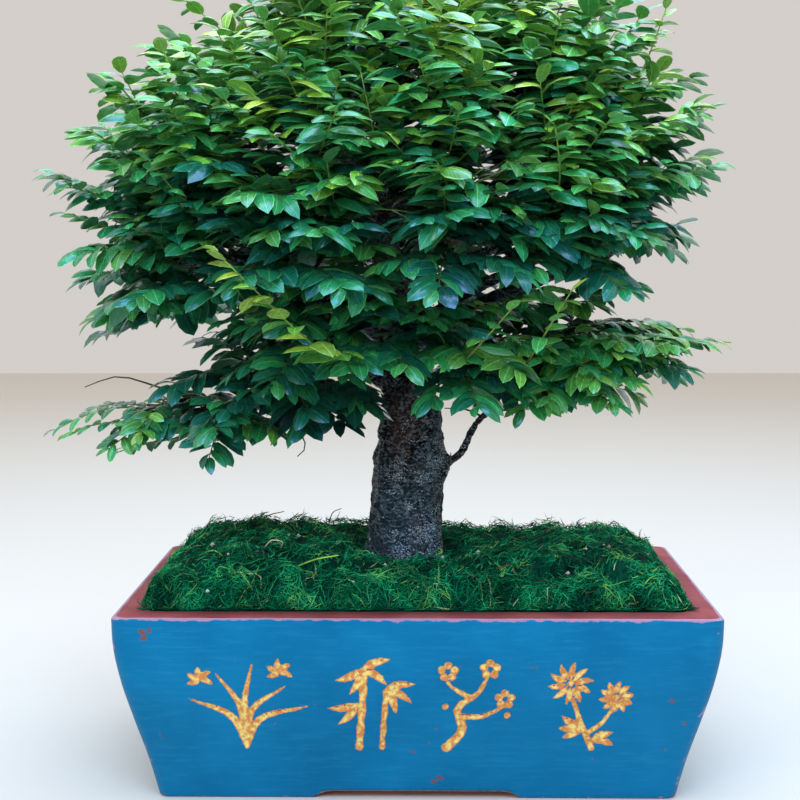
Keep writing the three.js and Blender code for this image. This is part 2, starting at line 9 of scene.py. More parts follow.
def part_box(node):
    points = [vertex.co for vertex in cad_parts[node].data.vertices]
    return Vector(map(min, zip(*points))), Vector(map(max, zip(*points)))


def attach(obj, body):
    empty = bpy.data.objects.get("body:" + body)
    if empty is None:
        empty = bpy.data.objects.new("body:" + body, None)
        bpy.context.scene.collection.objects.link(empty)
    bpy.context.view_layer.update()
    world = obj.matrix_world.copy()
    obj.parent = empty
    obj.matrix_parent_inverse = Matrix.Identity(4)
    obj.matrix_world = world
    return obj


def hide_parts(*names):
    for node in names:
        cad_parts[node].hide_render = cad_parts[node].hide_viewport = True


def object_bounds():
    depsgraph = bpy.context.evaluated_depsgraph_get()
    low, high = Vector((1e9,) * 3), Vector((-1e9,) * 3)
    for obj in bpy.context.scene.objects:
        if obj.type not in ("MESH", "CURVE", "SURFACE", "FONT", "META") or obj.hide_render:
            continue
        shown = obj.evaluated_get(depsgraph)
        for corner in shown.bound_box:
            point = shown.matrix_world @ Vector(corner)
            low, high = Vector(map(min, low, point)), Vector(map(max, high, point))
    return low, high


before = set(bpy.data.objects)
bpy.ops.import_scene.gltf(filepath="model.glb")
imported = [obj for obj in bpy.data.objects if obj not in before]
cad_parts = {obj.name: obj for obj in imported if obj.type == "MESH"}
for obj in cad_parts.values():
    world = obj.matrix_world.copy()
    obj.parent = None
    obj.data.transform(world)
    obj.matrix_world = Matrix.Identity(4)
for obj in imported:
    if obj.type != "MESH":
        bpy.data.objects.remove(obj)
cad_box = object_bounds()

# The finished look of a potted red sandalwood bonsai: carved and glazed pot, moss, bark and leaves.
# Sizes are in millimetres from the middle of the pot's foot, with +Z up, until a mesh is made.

# Pot, as in the solid
POT_WIDTH = 450
POT_DEPTH = 280
POT_HEIGHT = 145
POT_CORNER_RADIUS = 8
RIM_WIDTH = 24
WALL_THICKNESS = 17
FLOOR_THICKNESS = 16
FOOT_HEIGHT = 6
FOOT_SPACING = 150
DRAIN_HOLE_RADIUS = 9
DRAIN_HOLE_SPACING = 90
WALL_PROFILE = [(0, 0), (0.15, 0.8), (0.35, 5.5), (0.55, 12.8), (0.77, 21.5), (1, 29)]
RIM_ROUNDING = 2.2
FOOT_ROUNDING = 1.6
SOIL_BELOW_RIM = 9
# Carving on the front: the spacing of its points, its depth, the heights it lies between, and the
# value of points that are off every stroke
CARVING_GRID = 1.5
CARVING_DEPTH = 1.5
CARVING_LOW = 38
CARVING_HIGH = 122
OFF_STROKE = -3.0
# Wear of the glaze, and along the rim's edge a pale line that is partly painted highlight: how far it
# reaches in millimetres and its strength, and along the flat rim how far in and how strong
CORNER_WEAR = (9, 0.55)
RIM_WEAR_AND_HIGHLIGHT = (2.4, 1)
FOOT_WEAR = (4, 0.55)
FLAT_RIM_WEAR_AND_HIGHLIGHT = [(1.6, 0.55), (3.2, 0.15), (6, 0), (RIM_WIDTH - 2, 0)]

# Moss, as in the solid
MOSS_HEIGHT = 46
MOSS_EDGE_HEIGHT = 27
MOSS_EDGE_REACH = 24
MOSS_DIP = 20
MOSS_DIP_REACH = 60
MOSS_LUMP = 3.2
MOSS_ROUNDING = 11
MOSS_OVER_RIM = 7
MOSS_HALF_WIDTH = POT_WIDTH / 2 - RIM_WIDTH - 3
MOSS_HALF_DEPTH = POT_DEPTH / 2 - RIM_WIDTH - 3
# The mound under the strands: clumps of two sizes and their height, how far the strands stand off
# it, how much lower it is on the right, how ragged its foot is, and its dark tone, painted shade deep
# in the moss
CLUMP_SIZES = (21, 8)
CLUMP_HEIGHT = 5.5
STRAND_DEPTH = 8
MOSS_RIGHT_DROP = 5
EDGE_RAGGEDNESS = 2.4
MOUND_SHADE_TONE = 0.16
# Strands, and fronds with leaflets
STRAND_COUNT = 11500
STRAND_LENGTH = (5, 13)
STRAND_RADIUS = 0.42
STRAND_OVERHANG = 6
FROND_COUNT = 2100
FROND_LENGTH = (9, 20)
BARBS_PER_FROND = 11
BARB_LENGTH = (1.8, 3.4)
BARB_HALF_WIDTH = 0.45
BARB_THICKNESS = 0.35
# Faces of a spike: three round its sides, and its foot
SPIKE_FACES = np.array([(0, 1, 3), (1, 2, 3), (2, 0, 3), (0, 2, 1)])
# Shares of the strands that lie along the front, the back and both ends, and the band they lie in
EDGE_STRAND_SHARES = (0.25, 0.09, 0.11)
EDGE_BAND = 1.3 * MOSS_ROUNDING
DEAD_STRAND_SHARE = 0.025
DEAD_STRAND_TONES = [0.92, 0.96, 1.0]
CHIP_COUNT = 34
CHIP_SIZE = (0.8, 2.4)
# Twigs and fibres lying on the moss: path over the floor, radius and tone
MOSS_TWIGS = [
    ([(-140, 74, 176), (-130, 74, 184), (-116, 72, 188)], 0.7, 1.0),
    ([(-77, 70, 178), (-73, 70, 188), (-66, 70, 191)], 0.6, 1.0),
    ([(-196, 84, 160), (-186, 82, 168), (-160, 80, 170)], 0.6, 1.0),
    ([(-118, -66, 184), (-112, -70, 190), (-104, -68, 188), (-106, -64, 183)], 0.5, 0.97),
    ([(-92, -84, 172), (-78, -86, 178), (-60, -84, 181)], 0.8, 0.93),
    ([(60, -90, 172), (76, -94, 177), (88, -96, 174)], 0.5, 1.0),
    ([(-170, -60, 176), (-158, -66, 181), (-150, -72, 178)], 0.5, 0.93),
]

# Trunk and limbs, as in the solid: height, centre and radius; points and end radii
TRUNK_RINGS = [
    (62, -10, 21), (95, -10, 29), (130, -10, 33), (160, -10, 32), (185, -10, 30.5), (212, -9.5, 29),
    (239, -8, 28), (266, -6, 25.5), (292, -5, 22.5), (318, -9, 20), (345, -14, 17.5),
]
TRUNK_MIDDLE = -10
MOSS_HOLE_RADIUS = 30
# Heights between which the trunk is bare, and gets the finest relief
BARE_TRUNK = (150, 330)
# Burl on the trunk's right, and the collar of each limb: reach and how far they stand out
BURL_HEIGHT = 239
BURL_FORM = (16, 5)
LIMB_COLLAR = (12, 0.45)
LIMB_KNOBS = 0.16
LIMBS = {
    "leader": (
        [(-12, 0, 325), (-20, 1, 380), (-28, -1, 425), (-33, -4, 465), (-26, 0, 520), (-18, 2, 574)],
        (17, 3.4),
    ),
    "low_right": (
        [(10, 0, 234), (34, -4, 248), (46, -11, 272), (54, -15, 282), (92, -20, 289), (148, -21, 304),
         (186, -19, 318)],
        (3.9, 1.9),
    ),
    "low_left": (
        [(-12, 0, 268), (-50, -9, 295), (-95, -18, 305), (-136, -23, 297), (-170, -26, 288),
         (-196, -27, 283)],
        (5.4, 2),
    ),
    "upright_left": (
        [(-10, 3, 300), (-44, 6, 322), (-57, 5, 350), (-58, 5, 400), (-64, 8, 440), (-80, 6, 480),
         (-100, 4, 512)],
        (9.5, 3.4),
    ),
    "level_left": (
        [(-57, 5, 392), (-90, 1, 401), (-131, -5, 404), (-178, -8, 418), (-196, -8, 452)], (7, 3),
    ),
    "mid_right": ([(-8, 0, 326), (46, -5, 366), (104, -9, 392), (152, -12, 410), (178, -10, 446)], (9, 3)),
    "upper_right": ([(-22, 0, 392), (28, 4, 436), (82, 6, 480), (110, 6, 512)], (9, 3.2)),
    "front_low": ([(-4, -10, 298), (8, -52, 322), (16, -88, 334)], (7, 3)),
    "front_left": ([(-14, -8, 332), (-50, -50, 362), (-88, -98, 384), (-104, -118, 396)], (7, 3)),
    "front_middle": ([(-24, -6, 408), (-16, -60, 440), (2, -112, 464), (8, -134, 476)], (7, 3)),
    "front_right": ([(-10, -8, 345), (42, -52, 382), (86, -92, 404), (106, -110, 414)], (7, 3)),
    "back_low": ([(-6, 10, 312), (10, 58, 336), (24, 92, 348)], (7, 3)),
    "back_left": ([(-14, 10, 340), (-66, 56, 386), (-112, 102, 414), (-126, 116, 440)], (7, 3)),
    "back_middle": ([(-24, 8, 414), (-24, 60, 448), (-22, 110, 468), (-20, 132, 480)], (7, 3)),
    "back_right": ([(-12, 8, 360), (40, 54, 404), (88, 94, 424), (116, 112, 446)], (7, 3)),
    "front_top": ([(-30, -6, 470), (-18, -44, 500), (-8, -74, 518)], (5.5, 3)),
    "back_top": ([(-28, 5, 480), (-32, 42, 504), (-28, 74, 520)], (5.5, 3)),
}
BRANCHLET_RADII = (2.8, 1.7)
BARK_VOXEL = 2.5
# Width and height of the bark's knobs, wrinkles, scales, grain and furrows, and the furrows' form
BARK_RELIEF = [(13, 11), (11, 3.4), (4.4, 5), (2.2, 2.2), (9, 34)]
FURROW_EDGE = 0.14
FURROW_DEPTH = 1.2
# Pale flecks on the trunk's front, partly lichen and partly painted glints of wet bark: place across,
# height and reach
LICHEN_AND_GLINT_PATCHES = [
    (18, 244, 9), (4, 232, 6), (-14, 234, 5), (-6, 210, 5), (8, 186, 13), (-10, 172, 10), (14, 172, 8),
]

# Crown, as in the solid: rings and arcs of sprays, each with its count, height, how much higher it
# is at the right end, middle, half-axes, turns and slope, and the low limbs' own sprays
CROWN_SEED = 20417
HEIGHT_SPREAD = 15
REACH_SPREAD = 0.07
TURN_SPREAD = 5
SLOPE_SPREAD = 8
CROWN_TIERS = [
    ("peak", 1, 588, 0, -16, (0, 0), (30, 390), 72),
    ("top", 5, 572, 0, -12, (80, 70), (18, 378), 58),
    ("upper", 9, 532, 12, -14, (138, 120), (0, 360), 42),
    ("shoulder", 12, 470, 0, -18, (184, 154), (15, 375), 24),
    ("skirt", 10, 412, 28, -34, (178, 148), (0, 360), 6),
    ("under_front", 3, 350, 0, -22, (92, 88), (222, 363), 4),
    ("under_back", 4, 344, 0, -22, (112, 92), (10, 180), 0),
]
LOW_SPRAYS = [
    ("low_left_1", (-96, -34, 304), 225, -2),
    ("low_left_2", (-138, -16, 318), 160, 8),
    ("low_left_3", (-160, -38, 284), 205, -4),
    ("low_left_4", (-212, -26, 284), 178, -4),
    ("low_right_1", (104, -34, 326), -65, 4),
    ("low_right_2", (140, 0, 336), 35, 10),
    ("low_right_3", (160, -24, 332), -8, 12),
    ("low_right_4", (118, -34, 316), -30, 2),
]

# Shoots of a spray, story by story: how far the story stands off the spray's middle, and the turn,
# lift and share of the spray's reach of each of its shoots
SPRAY_REACH = 72
SPRAY_STORIES = [
    (-24, [(-66, -10, 0.84), (-18, -16, 0.9), (32, -14, 0.9), (80, -8, 0.76)]),
    (0, [(-84, 0, 0.78), (-44, 6, 0.96), (-6, 2, 1), (34, 5, 1), (74, 0, 0.84)]),
    (23, [(-60, 20, 0.84), (-14, 30, 0.86), (30, 24, 0.88), (70, 16, 0.74)]),
]
# One story more, which fills the gap between a tier and its neighbour
FILL_STORIES = {
    "shoulder": (-50, [(-58, -12, 0.86), (-14, -14, 0.9), (30, -12, 0.88), (72, -10, 0.8)]),
    "skirt": (42, [(-70, 16, 0.8), (-24, 18, 0.84), (20, 20, 0.84), (64, 16, 0.8)]),
    "upper": (-46, [(-56, -14, 0.84), (-10, -16, 0.9), (36, -12, 0.86)]),
}
# Age of a tier's leaves, from 0 for dark and old to 1 for yellow and new, lower tiers darker partly as
# painted shade, how deep its sprays are beside the others, and the steepest slope of its shoots
TIER_AGE_AND_SHADE = {
    "peak": 0.8, "top": 0.74, "upper": 0.66, "shoulder": 0.6, "skirt": 0.44,
    "under_front": 0.42, "under_back": 0.35, "low_left": 0.5, "low_right": 0.52,
}
TIER_DEPTH = {"low_left": 0.3, "low_right": 0.42}
STEEPEST = {"low_right": 14}
# The low left limb, from its end to its middle: leaves get larger and older, and shoots are few
LOW_LEFT_REACH = (-212, -120)
LOW_LEFT_LEAF = (0.62, 1.12)
LOW_LEFT_AGE = (0.6, 0.16)
LOW_LEFT_SHOOTS = 0.62
LOW_RIGHT_LEAF = 0.92
# Single long shoots that stand out of the crown: path, leaf length and age of the leaves
LONG_SHOOTS = [
    ([(-48, -96, 352), (-56, -160, 338), (-68, -184, 345), (-101, -190, 377), (-134, -194, 410)], 27, 0.86),
    ([(126, 0, 322), (190, -20, 334), (224, -22, 342), (248, -24, 340)], 24, 0.7),
    ([(-16, 0, 606), (-13, 2, 640), (-6, 4, 670)], 26, 0.85),
    ([(-196, -27, 283), (-232, -34, 290), (-262, -36, 284), (-286, -38, 272)], 19, 0.5),
    ([(-166, -32, 280), (-213, -40, 276), (-252, -44, 278), (-276, -46, 268)], 17, 0.58),
    ([(-160, -34, 272), (-190, -44, 266), (-214, -48, 262), (-234, -50, 256)], 19, 0.42),
    ([(150, -10, 500), (178, -30, 560), (190, -40, 596)], 24, 0.9),
    ([(-120, 10, 548), (-152, 4, 584), (-188, 0, 614)], 24, 0.8),
    ([(-190, -60, 420), (-232, -70, 430), (-264, -74, 440)], 27, 0.5),
    ([(-204, -56, 510), (-216, -60, 526), (-230, -62, 542)], 23, 0.62),
    ([(-98, -130, 470), (-122, -152, 502), (-136, -160, 522)], 28, 0.68),
    ([(-146, -126, 436), (-168, -148, 452), (-186, -154, 474)], 25, 0.56),
    ([(34, -128, 332), (50, -152, 352), (70, -164, 376)], 25, 0.68),
    ([(80, -120, 330), (92, -142, 354), (108, -152, 382)], 24, 0.72),
    ([(96, -120, 412), (110, -150, 424), (126, -164, 442)], 27, 0.52),
    ([(172, -30, 492), (196, -40, 506), (222, -44, 520)], 24, 0.68),
    ([(-25, -128, 462), (-30, -158, 496), (-38, -168, 534)], 30, 0.62),
    ([(-50, -128, 436), (-58, -164, 450), (-61, -176, 472)], 34, 0.4),
    ([(98, -130, 440), (100, -158, 468), (96, -164, 496)], 27, 0.62),
]
# Hollows in the front of the crown, where its dark inside shows: middle and half sizes
CROWN_HOLLOWS = [
    ((-20, -150, 448), (15, 100, 19)),
    ((48, -150, 472), (17, 100, 17)),
    ((-3, -150, 536), (12, 90, 9)),
    ((-92, -150, 484), (16, 90, 10)),
]
# Twigs without leaves, and knots of old wood on the trunk and a limb
BARE_TWIGS = [
    [(-170, -30, 292), (-206, -34, 306), (-238, -36, 314), (-262, -38, 306)],
    [(-136, -40, 290), (-160, -46, 278), (-190, -50, 282), (-214, -52, 276)],
    [(-84, -30, 300), (-92, -40, 272), (-88, -44, 258), (-94, -46, 252)],
    [(27, -8, 240), (27, -9, 246), (27, -9, 250)],
    [(52, -14, 280), (40, -9, 285), (22, -6, 286)],
]
# Shoots inside the crown: how far along each branchlet, and their turn from it
INNER_SHOOTS = [(0.45, 110), (0.62, -95), (0.8, 80)]
# Age of the inner leaves: dark, partly as painted shade of the crown's inside
INNER_AGE_AND_SHADE = 0.12
LEAF_SPACING = 4.4
LEAF_LENGTH = 30
LEAF_WIDTH_SHARE = 0.49
LEAF_THICKNESS = 0.7
# Shares of a blade's length and of its half width where it has points: outer blades are finer
BLADE_STATIONS = (0.09, 0.34, 0.64, 0.86)
FINE_BLADE = (BLADE_STATIONS, (-1, -0.5, 0, 0.5, 1))
PLAIN_BLADE = (BLADE_STATIONS, (-1, 0, 1))
INNER_BLADE = ((0.12, 0.42, 0.74), (-1, 0, 1))

# The camera, fitted to the pot's corners in the photograph: place, turns and focal length
CAMERA_PLACE = (5.1, -1212.4, 409.1)
CAMERA_YAW = 0.0157
CAMERA_PITCH = -0.0962
CAMERA_ROLL = 0.0015
FOCAL_LENGTH = 67.5
SENSOR_WIDTH = 36
FLOOR_SIZE = 8000
# Lights in metres: name, place, height of the point aimed at, size, watts and colour
LIGHTS = [
    ("sky", (0.1, -0.1, 1.9), 0.4, (1.8, 1.4), 36, "#c4deff"),
    ("front_sky", (0.2, -2.1, 2.0), 0.45, (2.2, 1.0), 54, "#9ccbff"),
    ("front", (-1.3, -1.8, 1.0), 0.25, (0.8, 0.8), 9, "#ffeedd"),
    ("back_sky", (0, 2.0, 2.1), 0.45, (2.4, 1.2), 14, "#c4deff"),
]

# The middle of the pot's foot, in metres in the shared frame
POT_LOW, POT_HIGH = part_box("pot")
SHIFT = np.array([(POT_LOW.x + POT_HIGH.x) / 2, (POT_LOW.y + POT_HIGH.y) / 2, 0.0])
UP = np.array([0.0, 0.0, 1.0])


# Colours and nodes

def colour(hex_code):
    """An sRGB hex colour as linear red, green, blue and alpha."""
    values = [int(hex_code[place:place + 2], 16) / 255 for place in (1, 3, 5)]
    linear = [v / 12.92 if v <= 0.04045 else ((v + 0.055) / 1.055) ** 2.4 for v in values]
    return (*linear, 1.0)


def cells(size):
    """The scale of a pattern whose cells are about this many millimetres wide."""
    return 1000 / size


def fill_inputs(node, inputs):
    """Fills inputs of a node: another node's output is linked, a hex colour or other value is set."""
    for socket, value in inputs.items():
        if isinstance(value, bpy.types.NodeSocket):
            node.id_data.links.new(value, node.inputs[socket])
        else:
            node.inputs[socket].default_value = colour(value) if isinstance(value, str) else value


def new_material(name):
    """A material, its shader, and a function that adds a node to it and gives the node's output."""
    material = bpy.data.materials.new(name)
    material.use_nodes = True
    tree = material.node_tree

    def add(kind, inputs=None, output=0, stops=(), **settings):
        node = tree.nodes.new(f"ShaderNode{kind}")
        for label, value in settings.items():
            setattr(node, label, value)
        fill_inputs(node, inputs or {})
        if stops:
            marks = node.color_ramp.elements
            while len(marks) < len(stops):
                marks.new(0.5)
            for mark, (position, shade) in zip(marks, stops):
                mark.position = position
                mark.color = colour(shade)
        return node.outputs[output]

    return material, tree.nodes["Principled BSDF"], add


# Sockets of a colour mix: its factor, its two colours and its result
FACTOR, FIRST, SECOND, MIXED = 0, 6, 7, 2


# Moulded clay, brushed with blue glaze and fired: satin, faintly streaked, worn pale along edges, with
# the pale line along the rim partly a painted highlight
def blue_glaze():
    material, shader, add = new_material("blue_glaze_on_red_clay")
    place = add("TexCoord", output="Object")
    broad = add("TexNoise", {"Vector": place, "Scale": cells(71.4), "Detail": 5})
    base = add("ValToRGB", {"Fac": broad}, stops=[(0.3, "#05628a"), (0.7, "#0a739f")])
    # Brush marks 24 mm long and 3 mm wide: real bristle lines are finer, and wouldn't show
    brushed = add("Mapping", {"Vector": place, "Scale": (2.78 / 23.8, 2.78 / 23.8, 1)})
    streaks = add("TexNoise", {"Vector": brushed, "Scale": cells(2.78), "Detail": 6, "Roughness": 0.65})
    streak_mask = add("MapRange", {"Value": streaks, "From Min": 0.5, "From Max": 0.8, "To Max": 0.35})
    streaked = add("Mix", {FACTOR: streak_mask, FIRST: base, SECOND: "#2c90b4"}, MIXED, data_type="RGBA")
    # Chips of a few millimetres, where small and wide noise are both high
    small = add("TexNoise", {"Vector": place, "Scale": cells(6.25), "Detail": 2})
    wide = add("TexNoise", {"Vector": place, "Scale": cells(23.8), "Detail": 3})
    both = add("Math", {0: small, 1: wide}, operation="ADD")
    chip_mask = add("MapRange", {"Value": both, "From Min": 1.33, "From Max": 1.38})
    chipped = add("Mix", {FACTOR: chip_mask, FIRST: streaked, SECOND: "#7a4a45"}, MIXED, data_type="RGBA")
    # Wear along the rim, corners and feet, with a ragged edge; along the rim it is partly painted highlight
    edge_wear_and_highlight = add("Attribute", output="Fac", attribute_name="edge_wear_and_highlight")
    ragged = add("TexNoise", {"Vector": place, "Scale": cells(9.09), "Detail": 6})
    wear_with_highlight = add("Math", {0: ragged, 1: 2.0, 2: edge_wear_and_highlight}, operation="MULTIPLY_ADD")
    wear_and_highlight_mask = add("MapRange", {"Value": wear_with_highlight, "From Min": 1.7, "From Max": 1.9, "To Max": 0.9})
    edged = add("Mix", {FACTOR: wear_and_highlight_mask, FIRST: chipped, SECOND: "#b4809a"}, MIXED, data_type="RGBA")
    # Gold paint in the carved strokes, orange at their edges as painted shade of the carving and paler in
    # their middle, laid on in uneven dabs
    carved = add("Attribute", output="Fac", attribute_name="carved")
    rough_edge = add("TexNoise", {"Vector": place, "Scale": cells(2.94), "Detail": 5})
    gilding = add("Math", {0: rough_edge, 1: 1.9, 2: carved}, operation="MULTIPLY_ADD")
    gilt_mask = add("MapRange", {"Value": gilding, "From Min": 0.5, "From Max": 0.75})
    gilt_shading = add("MapRange", {"Value": gilding, "From Min": 0.7, "From Max": 1.7})
    dabs = add("TexNoise", {"Vector": place, "Scale": cells(4.17), "Detail": 6})
    dab_mask = add("MapRange", {
        "Value": dabs, "From Min": 0.42, "From Max": 0.6, "To Min": 0.1, "To Max": 1,
    })
    # Orange towards the stroke edges is painted shade; the dabs vary the paint itself
    gilt_shading_and_dabs = add("Math", {0: gilt_shading, 1: dab_mask}, operation="MULTIPLY")
    gilt = add("Mix", {FACTOR: gilt_shading_and_dabs, FIRST: "#cf7a34", SECOND: "#f8d676"}, MIXED, data_type="RGBA")
    painted = add("Mix", {FACTOR: gilt_mask, FIRST: edged, SECOND: gilt}, MIXED, data_type="RGBA")
    gloss = add("MapRange", {
        "Value": streaks, "From Min": 0.3, "From Max": 0.7, "To Min": 0.42, "To Max": 0.56,
    })
    # Clay grit under the glaze, 2.4 mm wide: real grit is under 1 mm, and wouldn't show
    grit = add("TexNoise", {"Vector": place, "Scale": cells(2.38), "Detail": 3})
    bump = add("Bump", {"Height": grit, "Strength": 0.12, "Distance": 0.0006})
    fill_inputs(shader, {
        "Base Color": painted, "Roughness": gloss, "Normal": bump, "IOR": 1.5, "Specular Tint": "#5fb4e0",
    })
    return material


# Unglazed red clay, fired: matt, with grains and a pale line where the glaze ends, partly wear and
# partly painted highlight
def red_clay():
    material, shader, add = new_material("fired_red_clay")
    place = add("TexCoord", output="Object")
    broad = add("TexNoise", {"Vector": place, "Scale": cells(33.3), "Detail": 6})
    base = add("ValToRGB", {"Fac": broad}, stops=[(0.3, "#963a3c"), (0.55, "#b04c4c"), (0.75, "#bb625c")])
    # The pale line on the rim's outer edge is partly wear and partly painted highlight
    edge_wear_and_highlight = add("Attribute", output="Fac", attribute_name="edge_wear_and_highlight")
    wear_with_highlight = add("Math", {0: edge_wear_and_highlight, 1: broad}, operation="ADD")
    wear_and_highlight_mask = add("MapRange", {"Value": wear_with_highlight, "From Min": 1.15, "From Max": 1.35})
    edged = add("Mix", {FACTOR: wear_and_highlight_mask, FIRST: base, SECOND: "#bd94a8"}, MIXED, data_type="RGBA")
    # Clay grit, 2 mm wide: real grit is under 1 mm, and wouldn't show
    grit = add("TexNoise", {"Vector": place, "Scale": cells(2), "Detail": 3})
    bump = add("Bump", {"Height": grit, "Strength": 0.3, "Distance": 0.0006})
    fill_inputs(shader, {"Base Color": edged, "Roughness": 0.72, "Normal": bump})
    return material


# Weathered bark: slate and charcoal, darker in the hollows of its relief partly as painted shade,
# browner in streaks, with a painted bluish sheen towards its foot and a scatter of pale flecks that are
# partly lichen and partly painted glints of wet bark
def weathered_bark():
    material, shader, add = new_material("weathered_bark")
    place = add("TexCoord", output="Object")
    # Scales of bark 8 mm wide and 5 mm high, with a finer grain of 3 mm by 2 mm
    squashed = add("Mapping", {"Vector": place, "Scale": (0.75, 0.75, 1.3)})
    plates = add("TexNoise", {"Vector": squashed, "Scale": cells(5.88), "Detail": 7, "Roughness": 0.72})
    grain = add("TexNoise", {"Vector": squashed, "Scale": cells(2.083), "Detail": 4})
    half_grain = add("Math", {0: grain, 1: 0.5}, operation="MULTIPLY")
    crust = add("Math", {0: plates, 1: 0.5, 2: half_grain}, operation="MULTIPLY_ADD")
    # The colour follows the relief that the bump uses: near black in its hollows, partly as painted shade,
    # and pale slate on the raised scales
    base = add("ValToRGB", {"Fac": crust}, stops=[
        (0.42, "#030405"), (0.49, "#141a1e"), (0.54, "#2f3b44"), (0.61, "#74868f"),
    ])
    # Streaks of brown and of slate, 30 mm wide and three times as high, and a painted bluish sheen low on
    # the trunk
    drawn_up = add("Mapping", {"Vector": place, "Scale": (1, 1, 0.35)})
    tint = add("TexNoise", {"Vector": drawn_up, "Scale": cells(29.4), "Detail": 4})
    warm_mask = add("MapRange", {"Value": tint, "From Min": 0.52, "From Max": 0.68, "To Max": 0.7})
    warmed = add("Mix", {FACTOR: warm_mask, FIRST: base, SECOND: "#46302a"}, MIXED, data_type="RGBA")
    cool_mask = add("MapRange", {"Value": tint, "From Min": 0.48, "From Max": 0.34, "To Max": 0.5})
    # Bluish slate towards the trunk's foot is a painted sheen
    height = add("SeparateXYZ", {"Vector": place}, "Z")
    painted_foot_sheen = add("MapRange", {"Value": height, "From Min": 0.26, "From Max": 0.18, "To Max": 0.4})
    slate_and_foot_sheen = add("Math", {0: cool_mask, 1: painted_foot_sheen}, operation="MAXIMUM")
    slated_and_sheened = add("Mix", {FACTOR: slate_and_foot_sheen, FIRST: warmed, SECOND: "#365260"}, MIXED, data_type="RGBA")
    # Pale flecks of about 1 mm, partly lichen and partly painted glints of wet bark, crowded in the
    # patches
    warp = add("TexNoise", {"Vector": place, "Scale": cells(3.33), "Detail": 2}, "Color")
    warped = add("VectorMath", {0: warp, 1: (0.009, 0.009, 0.004), 2: place}, operation="MULTIPLY_ADD")
    flecks = add("TexVoronoi", {"Vector": warped, "Scale": cells(1.163)})
    drawn_lot = add("SeparateXYZ", {"Vector": flecks.node.outputs["Color"]}, "X")
    patches = add("TexNoise", {"Vector": place, "Scale": cells(16.67), "Detail": 2})
    chance = add("Math", {0: patches, 1: 1.7, 2: -0.8}, operation="MULTIPLY_ADD")
    lichen_and_glint = add("Attribute", output="Fac", attribute_name="lichen_and_glint")
    crowded = add("Math", {0: lichen_and_glint, 1: 0.66, 2: chance}, operation="MULTIPLY_ADD")
    left_over = add("Math", {0: crowded, 1: drawn_lot}, operation="SUBTRACT")
    fleck_form = add("MapRange", {"Value": flecks, "From Min": 0.6, "From Max": 0.25, "To Max": 1.0})
    fleck_kept = add("MapRange", {"Value": left_over, "From Min": 0, "From Max": 0.08})
    fleck_mask = add("Math", {0: fleck_form, 1: fleck_kept}, operation="MULTIPLY")
    fleck = add("Mix", {FACTOR: tint, FIRST: "#9cc4ea", SECOND: "#e6e2d4"}, MIXED, data_type="RGBA")
    flecked = add("Mix", {FACTOR: fleck_mask, FIRST: slated_and_sheened, SECOND: fleck}, MIXED, data_type="RGBA")
    gloss = add("MapRange", {
        "Value": crust, "From Min": 0.42, "From Max": 0.6, "To Min": 0.55, "To Max": 0.24,
    })
    wet = add("MapRange", {"Value": crust, "From Min": 0.46, "From Max": 0.6, "To Min": 0.05, "To Max": 1.0})
    bump = add("Bump", {"Height": crust, "Strength": 1.0, "Distance": 0.0052})
    fill_inputs(shader, {
        "Base Color": flecked, "Roughness": gloss, "Specular IOR Level": wet, "Normal": bump,
    })
    return material


